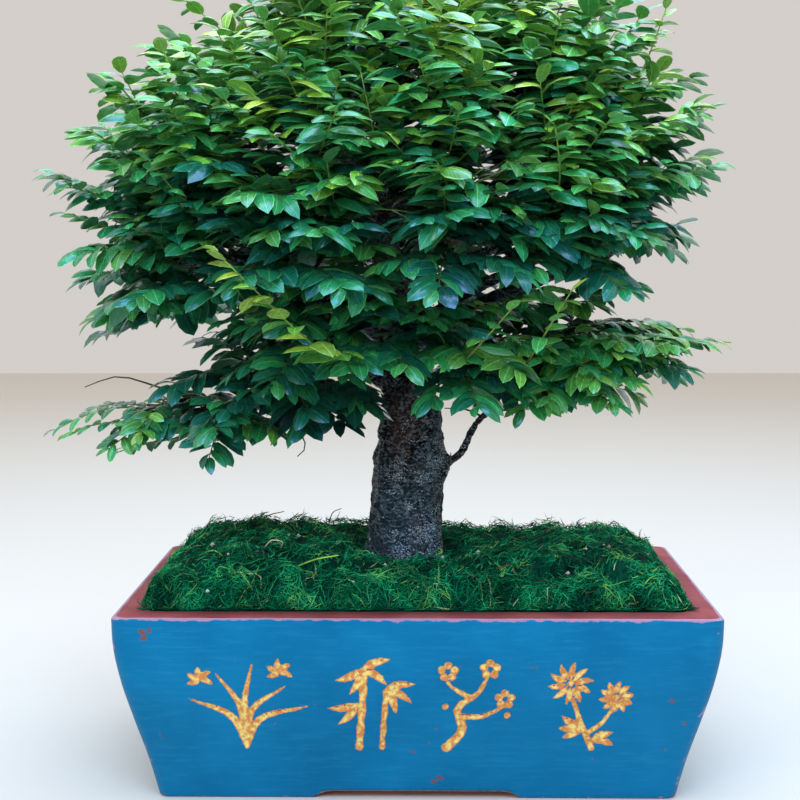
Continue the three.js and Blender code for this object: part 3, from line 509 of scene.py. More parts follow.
# Living leaf: waxed and glossy, blue-green when old and yellow-green when new, with paler veins; the
# old leaves' blue-green is partly a painted sky reflection and their darkness partly painted shade
def living_leaf():
    material, shader, add = new_material("waxed_living_leaf")
    age = add("Attribute", output="Fac", attribute_name="age")
    # The old end's blue-green is partly a painted bluish sheen of the sky
    base = add("ValToRGB", {"Fac": age}, stops=[
        (0.0, "#06322e"), (0.3, "#0e6248"), (0.55, "#28934a"), (0.78, "#66ae2c"), (1.0, "#b2cc38"),
    ])
    # Midrib, eight pairs of slanting side veins and the rim, from the places on the blade; the pale rim is
    # partly the leaf's margin and partly a painted highlight along its edge
    blade = add("UVMap", uv_map="blade")
    along = add("SeparateXYZ", {"Vector": blade}, "X")
    across = add("Math", {0: along.node.outputs["Y"], 1: 0.5}, operation="SUBTRACT")
    off = add("Math", {0: across}, operation="ABSOLUTE")
    rib = add("MapRange", {"Value": off, "From Min": 0.05, "From Max": 0.02, "To Max": 0.5})
    vein_count = add("Math", {0: along, 1: 8}, operation="MULTIPLY")
    slanted = add("Math", {0: off, 1: -5.5, 2: vein_count}, operation="MULTIPLY_ADD")
    phase = add("Math", {0: slanted}, operation="FRACT")
    from_vein = add("Math", {0: phase, 1: 0.5}, operation="SUBTRACT")
    vein_off = add("Math", {0: from_vein}, operation="ABSOLUTE")
    vein = add("MapRange", {"Value": vein_off, "From Min": 0.13, "From Max": 0.03, "To Max": 0.2})
    # Pale band along the rim, partly painted highlight on the edge
    rim = add("MapRange", {"Value": off, "From Min": 0.43, "From Max": 0.48, "To Max": 0.65})
    veined = add("Math", {0: rib, 1: vein}, operation="MAXIMUM")
    lines = add("Math", {0: veined, 1: rim}, operation="MAXIMUM")
    paler = add("HueSaturation", {"Hue": 0.46, "Saturation": 0.8, "Value": 2.6, "Color": base})
    drawn = add("Mix", {FACTOR: lines, FIRST: base, SECOND: paler}, MIXED, data_type="RGBA")
    # Each leaf's own tone, with a mottle of 4 mm
    place = add("TexCoord", output="Object")
    mottle = add("TexNoise", {"Vector": place, "Scale": cells(3.85), "Detail": 3})
    brightness = add("MapRange", {
        "Value": mottle, "From Min": 0.3, "From Max": 0.7, "To Min": 0.82, "To Max": 1.15,
    })
    tone = add("Attribute", output="Fac", attribute_name="tone")
    toned = add("Math", {0: brightness, 1: tone}, operation="MULTIPLY")
    varied = add("HueSaturation", {"Value": toned, "Color": drawn})
    under = add("Attribute", output="Fac", attribute_name="under")
    under_mask = add("MapRange", {"Value": under, "From Min": 0.48, "From Max": 0.52, "To Max": 0.45})
    both = add("Mix", {FACTOR: under_mask, FIRST: varied, SECOND: "#5f8f4a"}, MIXED, data_type="RGBA")
    gloss = add("MapRange", {
        "Value": mottle, "From Min": 0.3, "From Max": 0.7, "To Min": 0.24, "To Max": 0.38,
    })
    bump = add("Bump", {"Height": lines, "Strength": 0.7, "Distance": 0.0007, "Filter Width": 0.1})
    fill_inputs(shader, {
        "Base Color": both, "Roughness": gloss, "Normal": bump,
        "IOR": 1.55, "Specular IOR Level": 0.9, "Specular Tint": "#5cb4ff",
        "Coat Weight": 0.7, "Coat Roughness": 0.2,
        "Subsurface Weight": 0.12, "Subsurface Radius": (0.3, 0.6, 0.1), "Subsurface Scale": 0.002,
    })
    return material


# Young shoot: smooth skin, brown-red at its foot and yellow-green at its tip
def young_shoot():
    material, shader, add = new_material("young_shoot_skin")
    age = add("Attribute", output="Fac", attribute_name="age")
    base = add("ValToRGB", {"Fac": age}, stops=[
        (0.0, "#2b2119"), (0.25, "#4a4a26"), (0.5, "#6f9034"), (0.85, "#9cb83e"), (1.0, "#b9a04a"),
    ])
    place = add("TexCoord", output="Object")
    # Mottle of 2 mm: real lenticels are finer, and wouldn't show
    mottle = add("TexNoise", {"Vector": place, "Scale": cells(2), "Detail": 2})
    brightness = add("MapRange", {
        "Value": mottle, "From Min": 0.3, "From Max": 0.7, "To Min": 0.75, "To Max": 1.2,
    })
    varied = add("HueSaturation", {"Color": base, "Value": brightness})
    fill_inputs(shader, {"Base Color": varied, "Roughness": 0.5})
    return material


# Sheet moss: fine damp strands, deep green with lighter and browner ones among them, and darker as
# painted shade where they lie low
def damp_moss():
    material, shader, add = new_material("damp_sheet_moss")
    tone = add("Attribute", output="Fac", attribute_name="tone")
    base = add("ValToRGB", {"Fac": tone}, stops=[
        (0.0, "#00120c"), (0.22, "#02402c"), (0.5, "#057a4c"), (0.8, "#2cb06a"),
        (0.93, "#9bc844"), (0.97, "#cfc9a8"), (1.0, "#5d4030"),
    ])
    place = add("TexCoord", output="Object")
    patches = add("TexNoise", {"Vector": place, "Scale": cells(29.4), "Detail": 4})
    brightness = add("MapRange", {
        "Value": patches, "From Min": 0.38, "From Max": 0.62, "To Min": 0.6, "To Max": 1.5,
    })
    varied = add("HueSaturation", {"Color": base, "Value": brightness})
    fill_inputs(shader, {"Base Color": varied, "Roughness": 0.85, "IOR": 1.33, "Specular Tint": "#8fe0c4"})
    return material


# Baked clay soil: loose grains of 3 mm, brown, damp and dull, each paler in its middle and darker
# towards its edge and in the gaps between grains as painted shade
def soil_grains():
    material, shader, add = new_material("damp_soil_grains")
    place = add("TexCoord", output="Object")
    grains = add("TexVoronoi", {"Vector": place, "Scale": cells(3.03)})
    # Darker towards each grain's edge and in the gaps as painted shade
    base = add("ValToRGB", {"Fac": grains}, stops=[(0.0, "#5a4029"), (0.5, "#3a2a1c"), (0.9, "#1c140e")])
    bump = add("Bump", {"Height": grains, "Strength": 1.0, "Distance": 0.002}, invert=True)
    fill_inputs(shader, {"Base Color": base, "Roughness": 0.9, "Normal": bump})
    return material


# Moulded black polyethylene mesh: dull, with a faint grain of 1 mm from the mould
def moulded_mesh():
    material, shader, add = new_material("moulded_polyethylene")
    place = add("TexCoord", output="Object")
    grain = add("TexNoise", {"Vector": place, "Scale": cells(1.11), "Detail": 2})
    base = add("ValToRGB", {"Fac": grain}, stops=[(0.3, "#1a1a1a"), (0.7, "#2e2e2e")])
    fill_inputs(shader, {"Base Color": base, "Roughness": 0.6})
    return material


# Crushed grit: pale and pink stone chips, dull
def stone_grit():
    material, shader, add = new_material("crushed_stone_grit")
    tone = add("Attribute", output="Fac", attribute_name="tone")
    base = add("ValToRGB", {"Fac": tone}, stops=[(0.0, "#d8d4cc"), (0.5, "#c9a39a"), (1.0, "#6b4a36")])
    fill_inputs(shader, {"Base Color": base, "Roughness": 0.8})
    return material


# Meshes

def read(items, field, width=1, kind=float):
    """One field of every item of a mesh, as an array with a row for each."""
    values = np.empty(len(items) * width, kind)
    items.foreach_get(field, values)
    return values.reshape(-1, width) if width > 1 else values


def write_values(mesh, label, values):
    """A number for each point of a mesh, for its material to read."""
    mesh.attributes.new(label, "FLOAT", "POINT").data.foreach_set("value", np.asarray(values, np.float32))


def add_mesh(name, points, faces, material, uv=None, values=None, smooth=True, sharp=None):
    """A mesh in the scene. Points are in millimetres, and faces are index arrays."""
    mesh = bpy.data.meshes.new(name)
    rows = [row for block in faces for row in np.asarray(block).tolist()]
    mesh.from_pydata((np.asarray(points) / 1000 + SHIFT).tolist(), [], rows)
    mesh.update()
    for label, numbers in (values or {}).items():
        write_values(mesh, label, numbers)
    if uv is not None:
        corner = read(mesh.loops, "vertex_index", kind=np.int32)
        layer = mesh.uv_layers.new(name="blade")
        layer.data.foreach_set("uv", np.asarray(uv, np.float32)[corner].ravel())
    mesh.polygons.foreach_set("use_smooth", np.full(len(mesh.polygons), smooth))
    if sharp is not None:
        on_rim = np.asarray(sharp)[read(mesh.edges, "vertices", 2, np.int32)].all(axis=1)
        mesh.attributes.new("sharp_edge", "BOOLEAN", "EDGE").data.foreach_set("value", on_rim)
    thing = bpy.data.objects.new(name, mesh)
    bpy.context.scene.collection.objects.link(thing)
    thing.data.materials.append(material)
    return thing


def unit(vectors):
    """Vectors scaled to length one, along the last axis."""
    vectors = np.asarray(vectors, float)
    return vectors / np.maximum(np.linalg.norm(vectors, axis=-1, keepdims=True), 1e-9)


def heading(turn, slope):
    """A unit vector from a compass turn about +Z and a slope above the level, in degrees."""
    t, s = math.radians(turn), math.radians(slope)
    return np.array([math.cos(t) * math.cos(s), math.sin(t) * math.cos(s), math.sin(s)])


def on_curve(at, values, where):
    """Values at any places along one smooth curve through the given ones."""
    slopes = np.gradient(values, at, axis=0)
    span = np.clip(np.searchsorted(at, where, side="right") - 1, 0, len(at) - 2)
    h = at[span + 1] - at[span]
    t = (where - at[span]) / h
    if values.ndim > 1:
        h, t = h[:, None], t[:, None]
    return (
        (2 * t ** 3 - 3 * t ** 2 + 1) * values[span] + (t ** 3 - 2 * t ** 2 + t) * h * slopes[span]
        + (3 * t ** 2 - 2 * t ** 3) * values[span + 1] + (t ** 3 - t ** 2) * h * slopes[span + 1]
    )


def path_length(path):
    """The length of a path of points."""
    return np.linalg.norm(np.diff(path, axis=0), axis=1).sum()


def smooth_path(points, steps):
    """Evenly spaced points on one smooth curve through the given ones."""
    points = np.asarray(points, float)
    at = np.concatenate([[0], np.cumsum(np.linalg.norm(np.diff(points, axis=0), axis=1))])
    return on_curve(at, points, np.linspace(0, at[-1], steps + 1))


def point_along(path, share):
    """The point at a share of a path."""
    shares = np.linspace(0, 1, len(path))
    return np.array([np.interp(share, shares, path[:, axis]) for axis in range(3)])


def ring_faces(levels, count):
    """Faces between rings of equal point counts, then a fan across each end to its own last point."""
    side = np.arange(count)
    after = (side + 1) % count
    low = np.arange(levels - 1)[:, None] * count
    quads = np.stack([low + side, low + after, low + count + after, low + count + side], axis=-1)
    last = (levels - 1) * count
    first_fan = np.stack([after, side, np.full(count, last + count)], axis=1)
    last_fan = np.stack([last + side, last + after, np.full(count, last + count + 1)], axis=1)
    return [quads.reshape(-1, 4), first_fan, last_fan]


def stack(rings):
    """A closed mesh through rings of equal point counts, each counter-clockwise seen from the next."""
    points = np.concatenate(rings + [rings[0].mean(axis=0)[None], rings[-1].mean(axis=0)[None]])
    return points, ring_faces(len(rings), len(rings[0]))


def tube(path, radii, sides):
    """Points and faces of a closed tube along a path, with a radius at each point."""
    path = np.asarray(path, float)
    tangents = unit(np.gradient(path, axis=0))
    across = unit(np.cross(tangents[0], UP if abs(tangents[0][2]) < 0.9 else (1.0, 0.0, 0.0)))
    rings = []
    angles = np.arange(sides) * 2 * math.pi / sides
    for centre, tangent, radius in zip(path, tangents, radii):
        across = unit(across - tangent * np.dot(across, tangent))
        over = np.cross(tangent, across)
        ring = np.outer(np.cos(angles), across) + np.outer(np.sin(angles), over)
        rings.append(centre + radius * ring)
    foot = path[:1] - tangents[0] * radii[0] * 0.3
    tip = path[-1:] + tangents[-1] * radii[-1] * 0.8
    return np.concatenate(rings + [foot, tip]), ring_faces(len(path), sides)


class Bundle:
    """Gathers many small closed forms into one mesh."""

    def __init__(self):
        self.points = []
        self.faces = []
        self.values = {}
        self.count = 0

    def add(self, points, faces, **values):
        self.points.append(points)
        self.faces.extend(block + self.count for block in faces)
        for label, number in values.items():
            self.values.setdefault(label, []).append(np.broadcast_to(number, len(points)))
        self.count += len(points)

    def mesh(self, name, material, **options):
        values = {label: np.concatenate(parts) for label, parts in self.values.items()}
        return add_mesh(name, np.concatenate(self.points), self.faces, material, values=values, **options)


def finished(thing, slot, *nodes):
    """Puts a piece on the root body and hides the solids that it stands for. The slot is not used."""
    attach(thing, "root")
    if nodes:
        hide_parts(*nodes)
    return thing


def apply_modifiers(thing):
    """Replaces a mesh by its modified form."""
    graph = bpy.context.evaluated_depsgraph_get()
    graph.update()
    shaped = bpy.data.meshes.new_from_object(thing.evaluated_get(graph))
    thing.modifiers.clear()
    thing.data = shaped


# Pot

def wall_inset(z):
    """How far the outer wall has come in at a height."""
    down, inset = np.array(WALL_PROFILE, float).T
    return float(on_curve(down, inset, min(max(1 - z / POT_HEIGHT, 0), 1)))


def outline(inset, z, front_steps, side_steps, corner_steps):
    """The pot's rounded rectangle, taken in, at a height: counter-clockwise from the front left."""
    radius = POT_CORNER_RADIUS
    half_x, half_y = POT_WIDTH / 2 - inset - radius, POT_DEPTH / 2 - inset - radius
    sides = [
        ((-half_x, -half_y - radius), (half_x, -half_y - radius), front_steps),
        ((half_x + radius, -half_y), (half_x + radius, half_y), side_steps),
        ((half_x, half_y + radius), (-half_x, half_y + radius), side_steps),
        ((-half_x - radius, half_y), (-half_x - radius, -half_y), side_steps),
    ]
    centres = [(half_x, -half_y), (half_x, half_y), (-half_x, half_y), (-half_x, -half_y)]
    points = []
    for corner, (start, end, steps) in enumerate(sides):
        points += np.linspace(start, end, steps + 1).tolist()
        for step in range(1, corner_steps):
            angle = math.radians(-90 + 90 * (corner + step / corner_steps))
            points.append((centres[corner][0] + radius * math.cos(angle),
                           centres[corner][1] + radius * math.sin(angle)))
    return np.column_stack([points, np.full(len(points), z)])


def brush(points, widths, steps=10):
    """A brush stroke as a line of points on the front wall, each with half its width."""
    path = smooth_path([(x, z, 0) for x, z in points], steps)[:, :2]
    shares = np.linspace(0, 1, steps + 1)
    half = np.interp(shares, np.linspace(0, 1, len(widths)), widths) / 2
    return np.column_stack([path, half])


def leaf_stroke(x, z, turn, length, width):
    """A pointed leaf: thin, full and thin again, with a slight bend."""
    t = math.radians(turn)
    along, across = np.array([math.cos(t), math.sin(t)]), np.array([-math.sin(t), math.cos(t)])
    start = np.array([x, z])
    middle = start + along * length * 0.5 + across * length * 0.08
    return brush([start, middle, start + along * length], [1, width, width * 0.8, 0.3], 6)


def round_dab(x, z, radius):
    """One round touch of the brush."""
    return np.array([[x, z, radius], [x + 0.1, z, radius]])


def carved_orchid(x, z):
    """Long arching grass-like leaves with two small flowers."""
    strokes = []
    for lean, height, bend in [(-26, 40, -16), (-13, 60, -8), (0, 68, 6), (12, 50, 18), (22, 34, 24)]:
        tip = (x + lean + bend, z + height)
        strokes.append(brush([(x, z), (x + lean * 0.35, z + height * 0.6), tip], [3, 5.4, 3.6, 0.6]))
    for flower_x, flower_z in [(x + 26, z + 62), (x - 33, z + 56)]:
        strokes.extend(leaf_stroke(flower_x, flower_z, turn, 10, 4.4) for turn in (95, 35, 155, -25, 205))
    return strokes


def carved_bamboo(x, z):
    """Two jointed canes with bunches of pointed leaves."""
    strokes = []
    for offset, joints, width in [(-7, 4, 5.6), (10, 3, 4.2)]:
        for joint in range(joints):
            low = z + joint * 16
            foot = (x + offset + joint * 1.2, low)
            strokes.append(brush([foot, (foot[0] + 0.4, low + 7), (foot[0] + 1, low + 13.6)],
                                 [width, width * 0.7, width]))
    for leaf_x, leaf_z, turns in [
        (x - 4, z + 64, (-155, -115, -35, 20)),
        (x + 13, z + 48, (-70, -30, 10)),
        (x - 8, z + 36, (-170, -130)),
    ]:
        strokes.extend(leaf_stroke(leaf_x, leaf_z, turn, 22, 6) for turn in turns)
    return strokes


def carved_plum(x, z):
    """A crooked twig with five-petalled blossoms and buds."""
    strokes = [
        brush([(x - 20, z), (x - 8, z + 15), (x - 12, z + 32), (x + 4, z + 46), (x + 10, z + 58)],
              [7, 6, 5, 3.4, 1.6]),
        brush([(x - 10, z + 26), (x + 6, z + 26), (x + 22, z + 34)], [4.6, 3.4, 1.4]),
        brush([(x - 4, z + 42), (x - 16, z + 50), (x - 21, z + 56)], [4, 2.8, 1.4]),
    ]
    for flower_x, flower_z in [(x + 23, z + 40), (x - 19, z + 62), (x + 12, z + 64)]:
        for petal in range(5):
            turn = math.radians(90 + 72 * petal)
            strokes.append(round_dab(flower_x + 5 * math.cos(turn), flower_z + 5 * math.sin(turn), 2.7))
    strokes += [round_dab(x + 25, z + 27, 2.2), round_dab(x - 21, z + 34, 2.2)]
    return strokes


def carved_chrysanthemum(x, z):
    """Two many-petalled flower heads on stems with lobed leaves."""
    strokes = [
        brush([(x + 6, z), (x - 2, z + 20), (x - 9, z + 40)], [4.4, 3.6, 2.4]),
        brush([(x + 2, z + 12), (x + 14, z + 22), (x + 20, z + 32)], [3.4, 3, 2.2]),
    ]
    for head_x, head_z, size in [(x - 11, z + 53, 17), (x + 23, z + 42, 13)]:
        for petal in range(10):
            turn = 36 * petal + 8
            across, up = 4 * heading(turn, 0)[:2]
            strokes.append(leaf_stroke(head_x + across, head_z + up, turn, size - 4, 4.4))
        strokes.append(round_dab(head_x, head_z, 2.2))
    for leaf_x, leaf_z, turns in [(x - 2, z + 18, (150, 185, 215)), (x + 6, z + 7, (-15, 20))]:
        strokes.extend(leaf_stroke(leaf_x, leaf_z, turn, 17, 6) for turn in turns)
    return strokes


# The motifs, with the place of each one's foot across the front, and the height of every foot
CARVINGS = [(carved_orchid, -127), (carved_bamboo, -36), (carved_plum, 42), (carved_chrysanthemum, 124)]
CARVING_FOOT = 43
CARVING_HALF_WIDTH = 60


def fading(distance, reach, strength):
    """A strength that fades with the distance."""
    return strength * np.exp(-(distance / reach) ** 2)


def carved_depth(x, z):
    """How far inside the nearest stroke each point of the front wall lies, in millimetres."""
    inside = np.full(len(x), OFF_STROKE)
    for motif, centre_x in CARVINGS:
        near = np.flatnonzero((np.abs(x - centre_x) < CARVING_HALF_WIDTH) & (z > CARVING_FOOT - 8))
        for stroke in motif(centre_x, CARVING_FOOT):
            start, end = stroke[:-1], stroke[1:]
            span = end[:, :2] - start[:, :2]
            offset = np.column_stack([x[near], z[near]])[:, None] - start[:, :2]
            share = np.clip((offset * span).sum(axis=2) / np.maximum((span ** 2).sum(axis=1), 1e-6), 0, 1)
            gap = np.linalg.norm(offset - share[..., None] * span, axis=2)
            half = start[:, 2] + share * (end[:, 2] - start[:, 2])
            inside[near] = np.maximum(inside[near], (half - gap).max(axis=1))
    return inside


def pot_outside():
    """Rings up the outside of the pot and onto its flat rim, with how worn the glaze is on each, and a
    painted highlight along the rim's edge.
    """
    rim_start = POT_HEIGHT - RIM_ROUNDING
    fine_steps = (round(POT_WIDTH / CARVING_GRID), 30, 10)
    levels = [0, 0.5, FOOT_ROUNDING, *np.linspace(4, CARVING_LOW, 8)]
    levels += list(np.arange(CARVING_LOW, CARVING_HIGH, CARVING_GRID)[1:])
    levels += list(np.linspace(CARVING_HIGH, rim_start, 8))
    levels += [rim_start + RIM_ROUNDING * math.sin(angle) for angle in np.radians([18, 36, 54, 72, 90])]
    rings, wear_with_highlight = [], []
    for z in levels:
        under = max(0, 1 - z / FOOT_ROUNDING)
        over = max(0, z - rim_start) / RIM_ROUNDING
        inset = wall_inset(z) + 1.2 * under ** 2 + RIM_ROUNDING * (1 - math.sqrt(max(0, 1 - over ** 2)))
        ring = outline(inset, z, *fine_steps)
        from_corner = np.hypot(np.abs(ring[:, 0]) - (POT_WIDTH / 2 - inset),
                               np.abs(ring[:, 1]) - (POT_DEPTH / 2 - inset))
        by_height = max(fading(POT_HEIGHT - z, *RIM_WEAR_AND_HIGHLIGHT), fading(z, *FOOT_WEAR))
        wear_with_highlight.append(np.maximum(fading(from_corner, *CORNER_WEAR), by_height))
        rings.append(ring)
    # The pale outer edge of the flat rim is partly wear and partly painted highlight
    for further, edge_wear_and_highlight in FLAT_RIM_WEAR_AND_HIGHLIGHT:
        rings.append(outline(RIM_ROUNDING + further, POT_HEIGHT, *fine_steps))
        wear_with_highlight.append(np.full(len(rings[-1]), edge_wear_and_highlight))
    return rings, np.concatenate(wear_with_highlight + [[0, 0]])


def pot_cutters():
    """Closed forms that are cut out of the pot: the hollow, the recess between its feet, two holes."""
    bevel_start = POT_HEIGHT - 1.5
    hollow = []
    for z in (*np.linspace(FLOOR_THICKNESS, bevel_start, 24), POT_HEIGHT - 0.6, POT_HEIGHT + 1):
        under_rim = np.clip((z / POT_HEIGHT - 0.5) / 0.3, 0, 1)
        gilt_shading_and_dabs = WALL_THICKNESS + (RIM_WIDTH - WALL_THICKNESS) * under_rim
        hollow.append(outline(wall_inset(z) + gilt_shading_and_dabs - max(0, z - bevel_start) * 0.6, z, 30, 30, 8))
    rise = np.linspace(0, 1, 9)
    right = np.column_stack([FOOT_SPACING / 2 + FOOT_HEIGHT * (1 - 3 * rise),
                             -1 + (FOOT_HEIGHT + 1) * (1 - (1 - rise) ** 2)])
    arch = np.concatenate([right * (-1, 1), right[::-1]])
    beyond = POT_DEPTH / 2 + 5
    recess = [np.column_stack([arch[:, 0], np.full(len(arch), y), arch[:, 1]]) for y in (-beyond, beyond)]
    angles = np.arange(40) * 2 * math.pi / 40
    circle = np.column_stack([np.cos(angles), np.sin(angles), np.zeros(40)]) * DRAIN_HOLE_RADIUS
    holes = [
        [circle + (side * DRAIN_HOLE_SPACING / 2, 0, z) for z in (-4, FLOOR_THICKNESS + 4)]
        for side in (-1, 1)
    ]
    return [stack(rings) for rings in (hollow, recess, *holes)]


def build_pot(glaze, clay):
    """The pot: a block with a carved front, cut hollow, glazed outside and bare clay elsewhere."""
    rings, wear_with_highlight = pot_outside()
    points, faces = stack(rings)
    carved = np.full(len(points), OFF_STROKE)
    on_front = np.flatnonzero((points[:, 1] < -80) & (np.abs(points[:, 0]) < POT_WIDTH / 2 - 20)
                              & (points[:, 2] > CARVING_LOW - 4) & (points[:, 2] < CARVING_HIGH + 4))
    carved[on_front] = carved_depth(points[on_front, 0], points[on_front, 2])
    points[:, 1] += np.clip(carved * 0.9, 0, CARVING_DEPTH)
    body = add_mesh("pot_body", points, faces, glaze, values={"edge_wear_and_highlight": wear_with_highlight, "carved": carved})
    body.data.materials.append(clay)
    cutters = []
    for number, form in enumerate(pot_cutters()):
        cutter = add_mesh(f"cutter_{number}", *form, glaze, smooth=False)
        cutter.data.materials.append(clay)
        cutter.data.polygons.foreach_set("material_index", np.ones(len(cutter.data.polygons), np.int32))
        cut = body.modifiers.new(cutter.name, "BOOLEAN")
        cut.operation = "DIFFERENCE"
        cut.solver = "MANIFOLD"
        cut.object = cutter
        cutters.append(cutter)
    apply_modifiers(body)
    for cutter in cutters:
        bpy.data.objects.remove(cutter)
    sides = body.data.polygons
    height, facing = read(sides, "center", 3)[:, 2], read(sides, "normal", 3)[:, 2]
    bare = (height > (POT_HEIGHT - 1) / 1000) & (facing > 0.75) | (facing < -0.7)
    finish = np.where(bare, 1, read(sides, "material_index", kind=np.int32))
    sides.foreach_set("material_index", finish.astype(np.int32))
    body.data.update()
    return finished(body, "pot", "pot")


# Moss

def moss_top(x, y):
    """Height of the moss above the floor, from the distance to its edge and to the trunk."""
    edge = np.minimum(MOSS_HALF_WIDTH - 1 - np.abs(x), MOSS_HALF_DEPTH - 1 - np.abs(y))
    mound = MOSS_HEIGHT + (MOSS_EDGE_HEIGHT - MOSS_HEIGHT) * np.exp(-np.maximum(edge, 0) / MOSS_EDGE_REACH)
    dip = fading(np.hypot(x - TRUNK_MIDDLE, y + 12), MOSS_DIP_REACH, MOSS_DIP)
    across = np.sin(x / 11 + 2.1 * np.sin(y / 17))
    along = np.cos(y / 9 + 1.7 * np.sin(x / 23))
    return POT_HEIGHT + mound - dip + MOSS_LUMP * across * along


def moss_surface(x, y):
    """Height of the scene's moss, with rounded edges and a ragged foot, and its clumps (-1 to 1)."""
    wide, small = CLUMP_SIZES
    clumps = np.array([
        noise.noise(Vector((a / wide, b / wide, 3.0)))
        + 0.5 * noise.noise(Vector((a / small, b / small, 7.0)))
        for a, b in zip(x, y)
    ])
    edge = np.minimum(MOSS_HALF_WIDTH + MOSS_OVER_RIM - np.abs(x), MOSS_HALF_DEPTH - np.abs(y))
    inside = np.clip((edge + EDGE_RAGGEDNESS * np.minimum(clumps, 0)) / MOSS_ROUNDING, 0, 1)
    shoulder = np.sqrt(1 - (1 - inside) ** 2)
    height = moss_top(x, y) - POT_HEIGHT - STRAND_DEPTH + CLUMP_HEIGHT * clumps
    height -= MOSS_RIGHT_DROP * np.clip(x / 60, 0, 1)
    return POT_HEIGHT - 2 + (height + 2) * shoulder, clumps


def crowded_ends(half, count, reach):
    """Places from -half to half that crowd together towards both ends."""
    angles = np.linspace(-1, 1, count) * math.pi / 2 * reach
    return half * np.sin(angles) / math.sin(math.pi / 2 * reach)


def build_moss(material):
    """The mound under the strands, near black as painted shade deep in the moss."""
    columns, rows = 84, 50
    across, back = crowded_ends(MOSS_HALF_WIDTH, columns, 0.92), crowded_ends(MOSS_HALF_DEPTH, rows, 0.9)
    x, y = np.meshgrid(across, back)
    x, y = x.ravel(), y.ravel()
    soil_top = POT_HEIGHT - SOIL_BELOW_RIM
    height, _ = moss_surface(x, y)
    top = np.column_stack([x, y, np.maximum(height - 3.5, soil_top + 1)])
    under = np.column_stack([x, y, np.full(len(x), soil_top + 0.4)])
    index = np.arange(columns * rows).reshape(rows, columns)
    a, b, c, d = index[:-1, :-1], index[:-1, 1:], index[1:, 1:], index[1:, :-1]
    upper = np.stack([a, b, c, d], axis=-1).reshape(-1, 4)
    lower = upper[:, ::-1] + len(x)
    loop = np.concatenate([index[0, :-1], index[:-1, -1], index[-1, :0:-1], index[:0:-1, 0]])
    after = np.roll(loop, -1)
    skirt = np.stack([loop + len(x), after + len(x), after, loop], axis=1)
    mound = add_mesh("moss_mound", np.concatenate([top, under]), [upper, lower, skirt], material,
                     values={"tone": np.full(2 * len(x), MOUND_SHADE_TONE)})
    return finished(mound, "moss", "moss")


def lying_path(x, y, turn, length, bend, lift, spans):
    """A path over the moss that turns as it goes and rises off it to its end, and its first clump."""
    steps = np.linspace(0, 1, spans + 1)
    turns = np.radians(turn + bend * steps)
    step = length / spans
    path_x = x + np.concatenate([[0], np.cumsum(np.cos(turns[:-1]) * step)])
    path_y = y + np.concatenate([[0], np.cumsum(np.sin(turns[:-1]) * step)])
    ground, clumps = moss_surface(path_x, path_y)
    return np.column_stack([path_x, path_y, ground + lift * steps ** 1.5]), clumps[0]


def strand_form(path, radius):
    """A thin three-sided strand that ends in a point: points and faces."""
    tangents = unit(np.gradient(path, axis=0))
    across = unit(np.cross(tangents, UP + 0.01))
    over = np.cross(tangents, across)
    angles = np.arange(3) * 2 * math.pi / 3
    last = len(path) - 1
    widths = radius * np.linspace(1, 0.7, last)[:, None, None]
    around = (np.cos(angles)[None, :, None] * across[:last, None]
              + np.sin(angles)[None, :, None] * over[:last, None])
    points = (path[:last, None] + widths * around).reshape(-1, 3)
    quads, _, tip = ring_faces(last, 3)
    foot = np.array([[2, 1, 0]])
    tip[:, 2] = last * 3
    return np.vstack([points, path[last:]]), [quads, np.vstack([tip, foot])]


def barb_forms(path, rng):
    """Tiny leaflets along a moss frond: slim three-sided spikes in two rows."""
    points, faces = [], []
    ahead = unit(path[-1] - path[0])
    sideways = unit(np.cross(UP, ahead))
    for index in range(BARBS_PER_FROND):
        share = 0.1 + 0.85 * index / (BARBS_PER_FROND - 1)
        foot = point_along(path, share)
        side = 1 if index % 2 else -1
        out = unit(ahead * 0.9 + sideways * side + UP * rng.normal(0.25, 0.3))
        length = rng.uniform(*BARB_LENGTH) * (1.15 - 0.6 * share)
        wide = np.cross(out, UP) * BARB_HALF_WIDTH
        points += [foot - wide, foot + wide, foot + UP * BARB_THICKNESS, foot + out * length]
        faces.append(SPIKE_FACES + 4 * index)
    return np.array(points), faces


def strand_place(rng):
    """Where a strand starts and which way it lies: anywhere on the moss, or along one of its edges."""
    x = (MOSS_HALF_WIDTH + MOSS_OVER_RIM) * rng.uniform(-1, 1)
    y = MOSS_HALF_DEPTH * rng.uniform(-1, 1)
    turn = 40 + 200 * noise.noise(Vector((x / 46, y / 46, 1.0))) + rng.normal(0, 45)
    front, back, ends = EDGE_STRAND_SHARES
    chance = rng.random()
    if chance < front + back:
        y = (-1 if chance < front else 1) * (MOSS_HALF_DEPTH - EDGE_BAND * rng.random() ** 2)
        turn = rng.choice([0, 180]) + rng.normal(0, 14)
    elif chance < front + back + ends:
        x = rng.choice([-1, 1]) * (MOSS_HALF_WIDTH + MOSS_OVER_RIM - EDGE_BAND * rng.random() ** 2)
        turn = rng.normal(90, 20)
    return x, y, turn


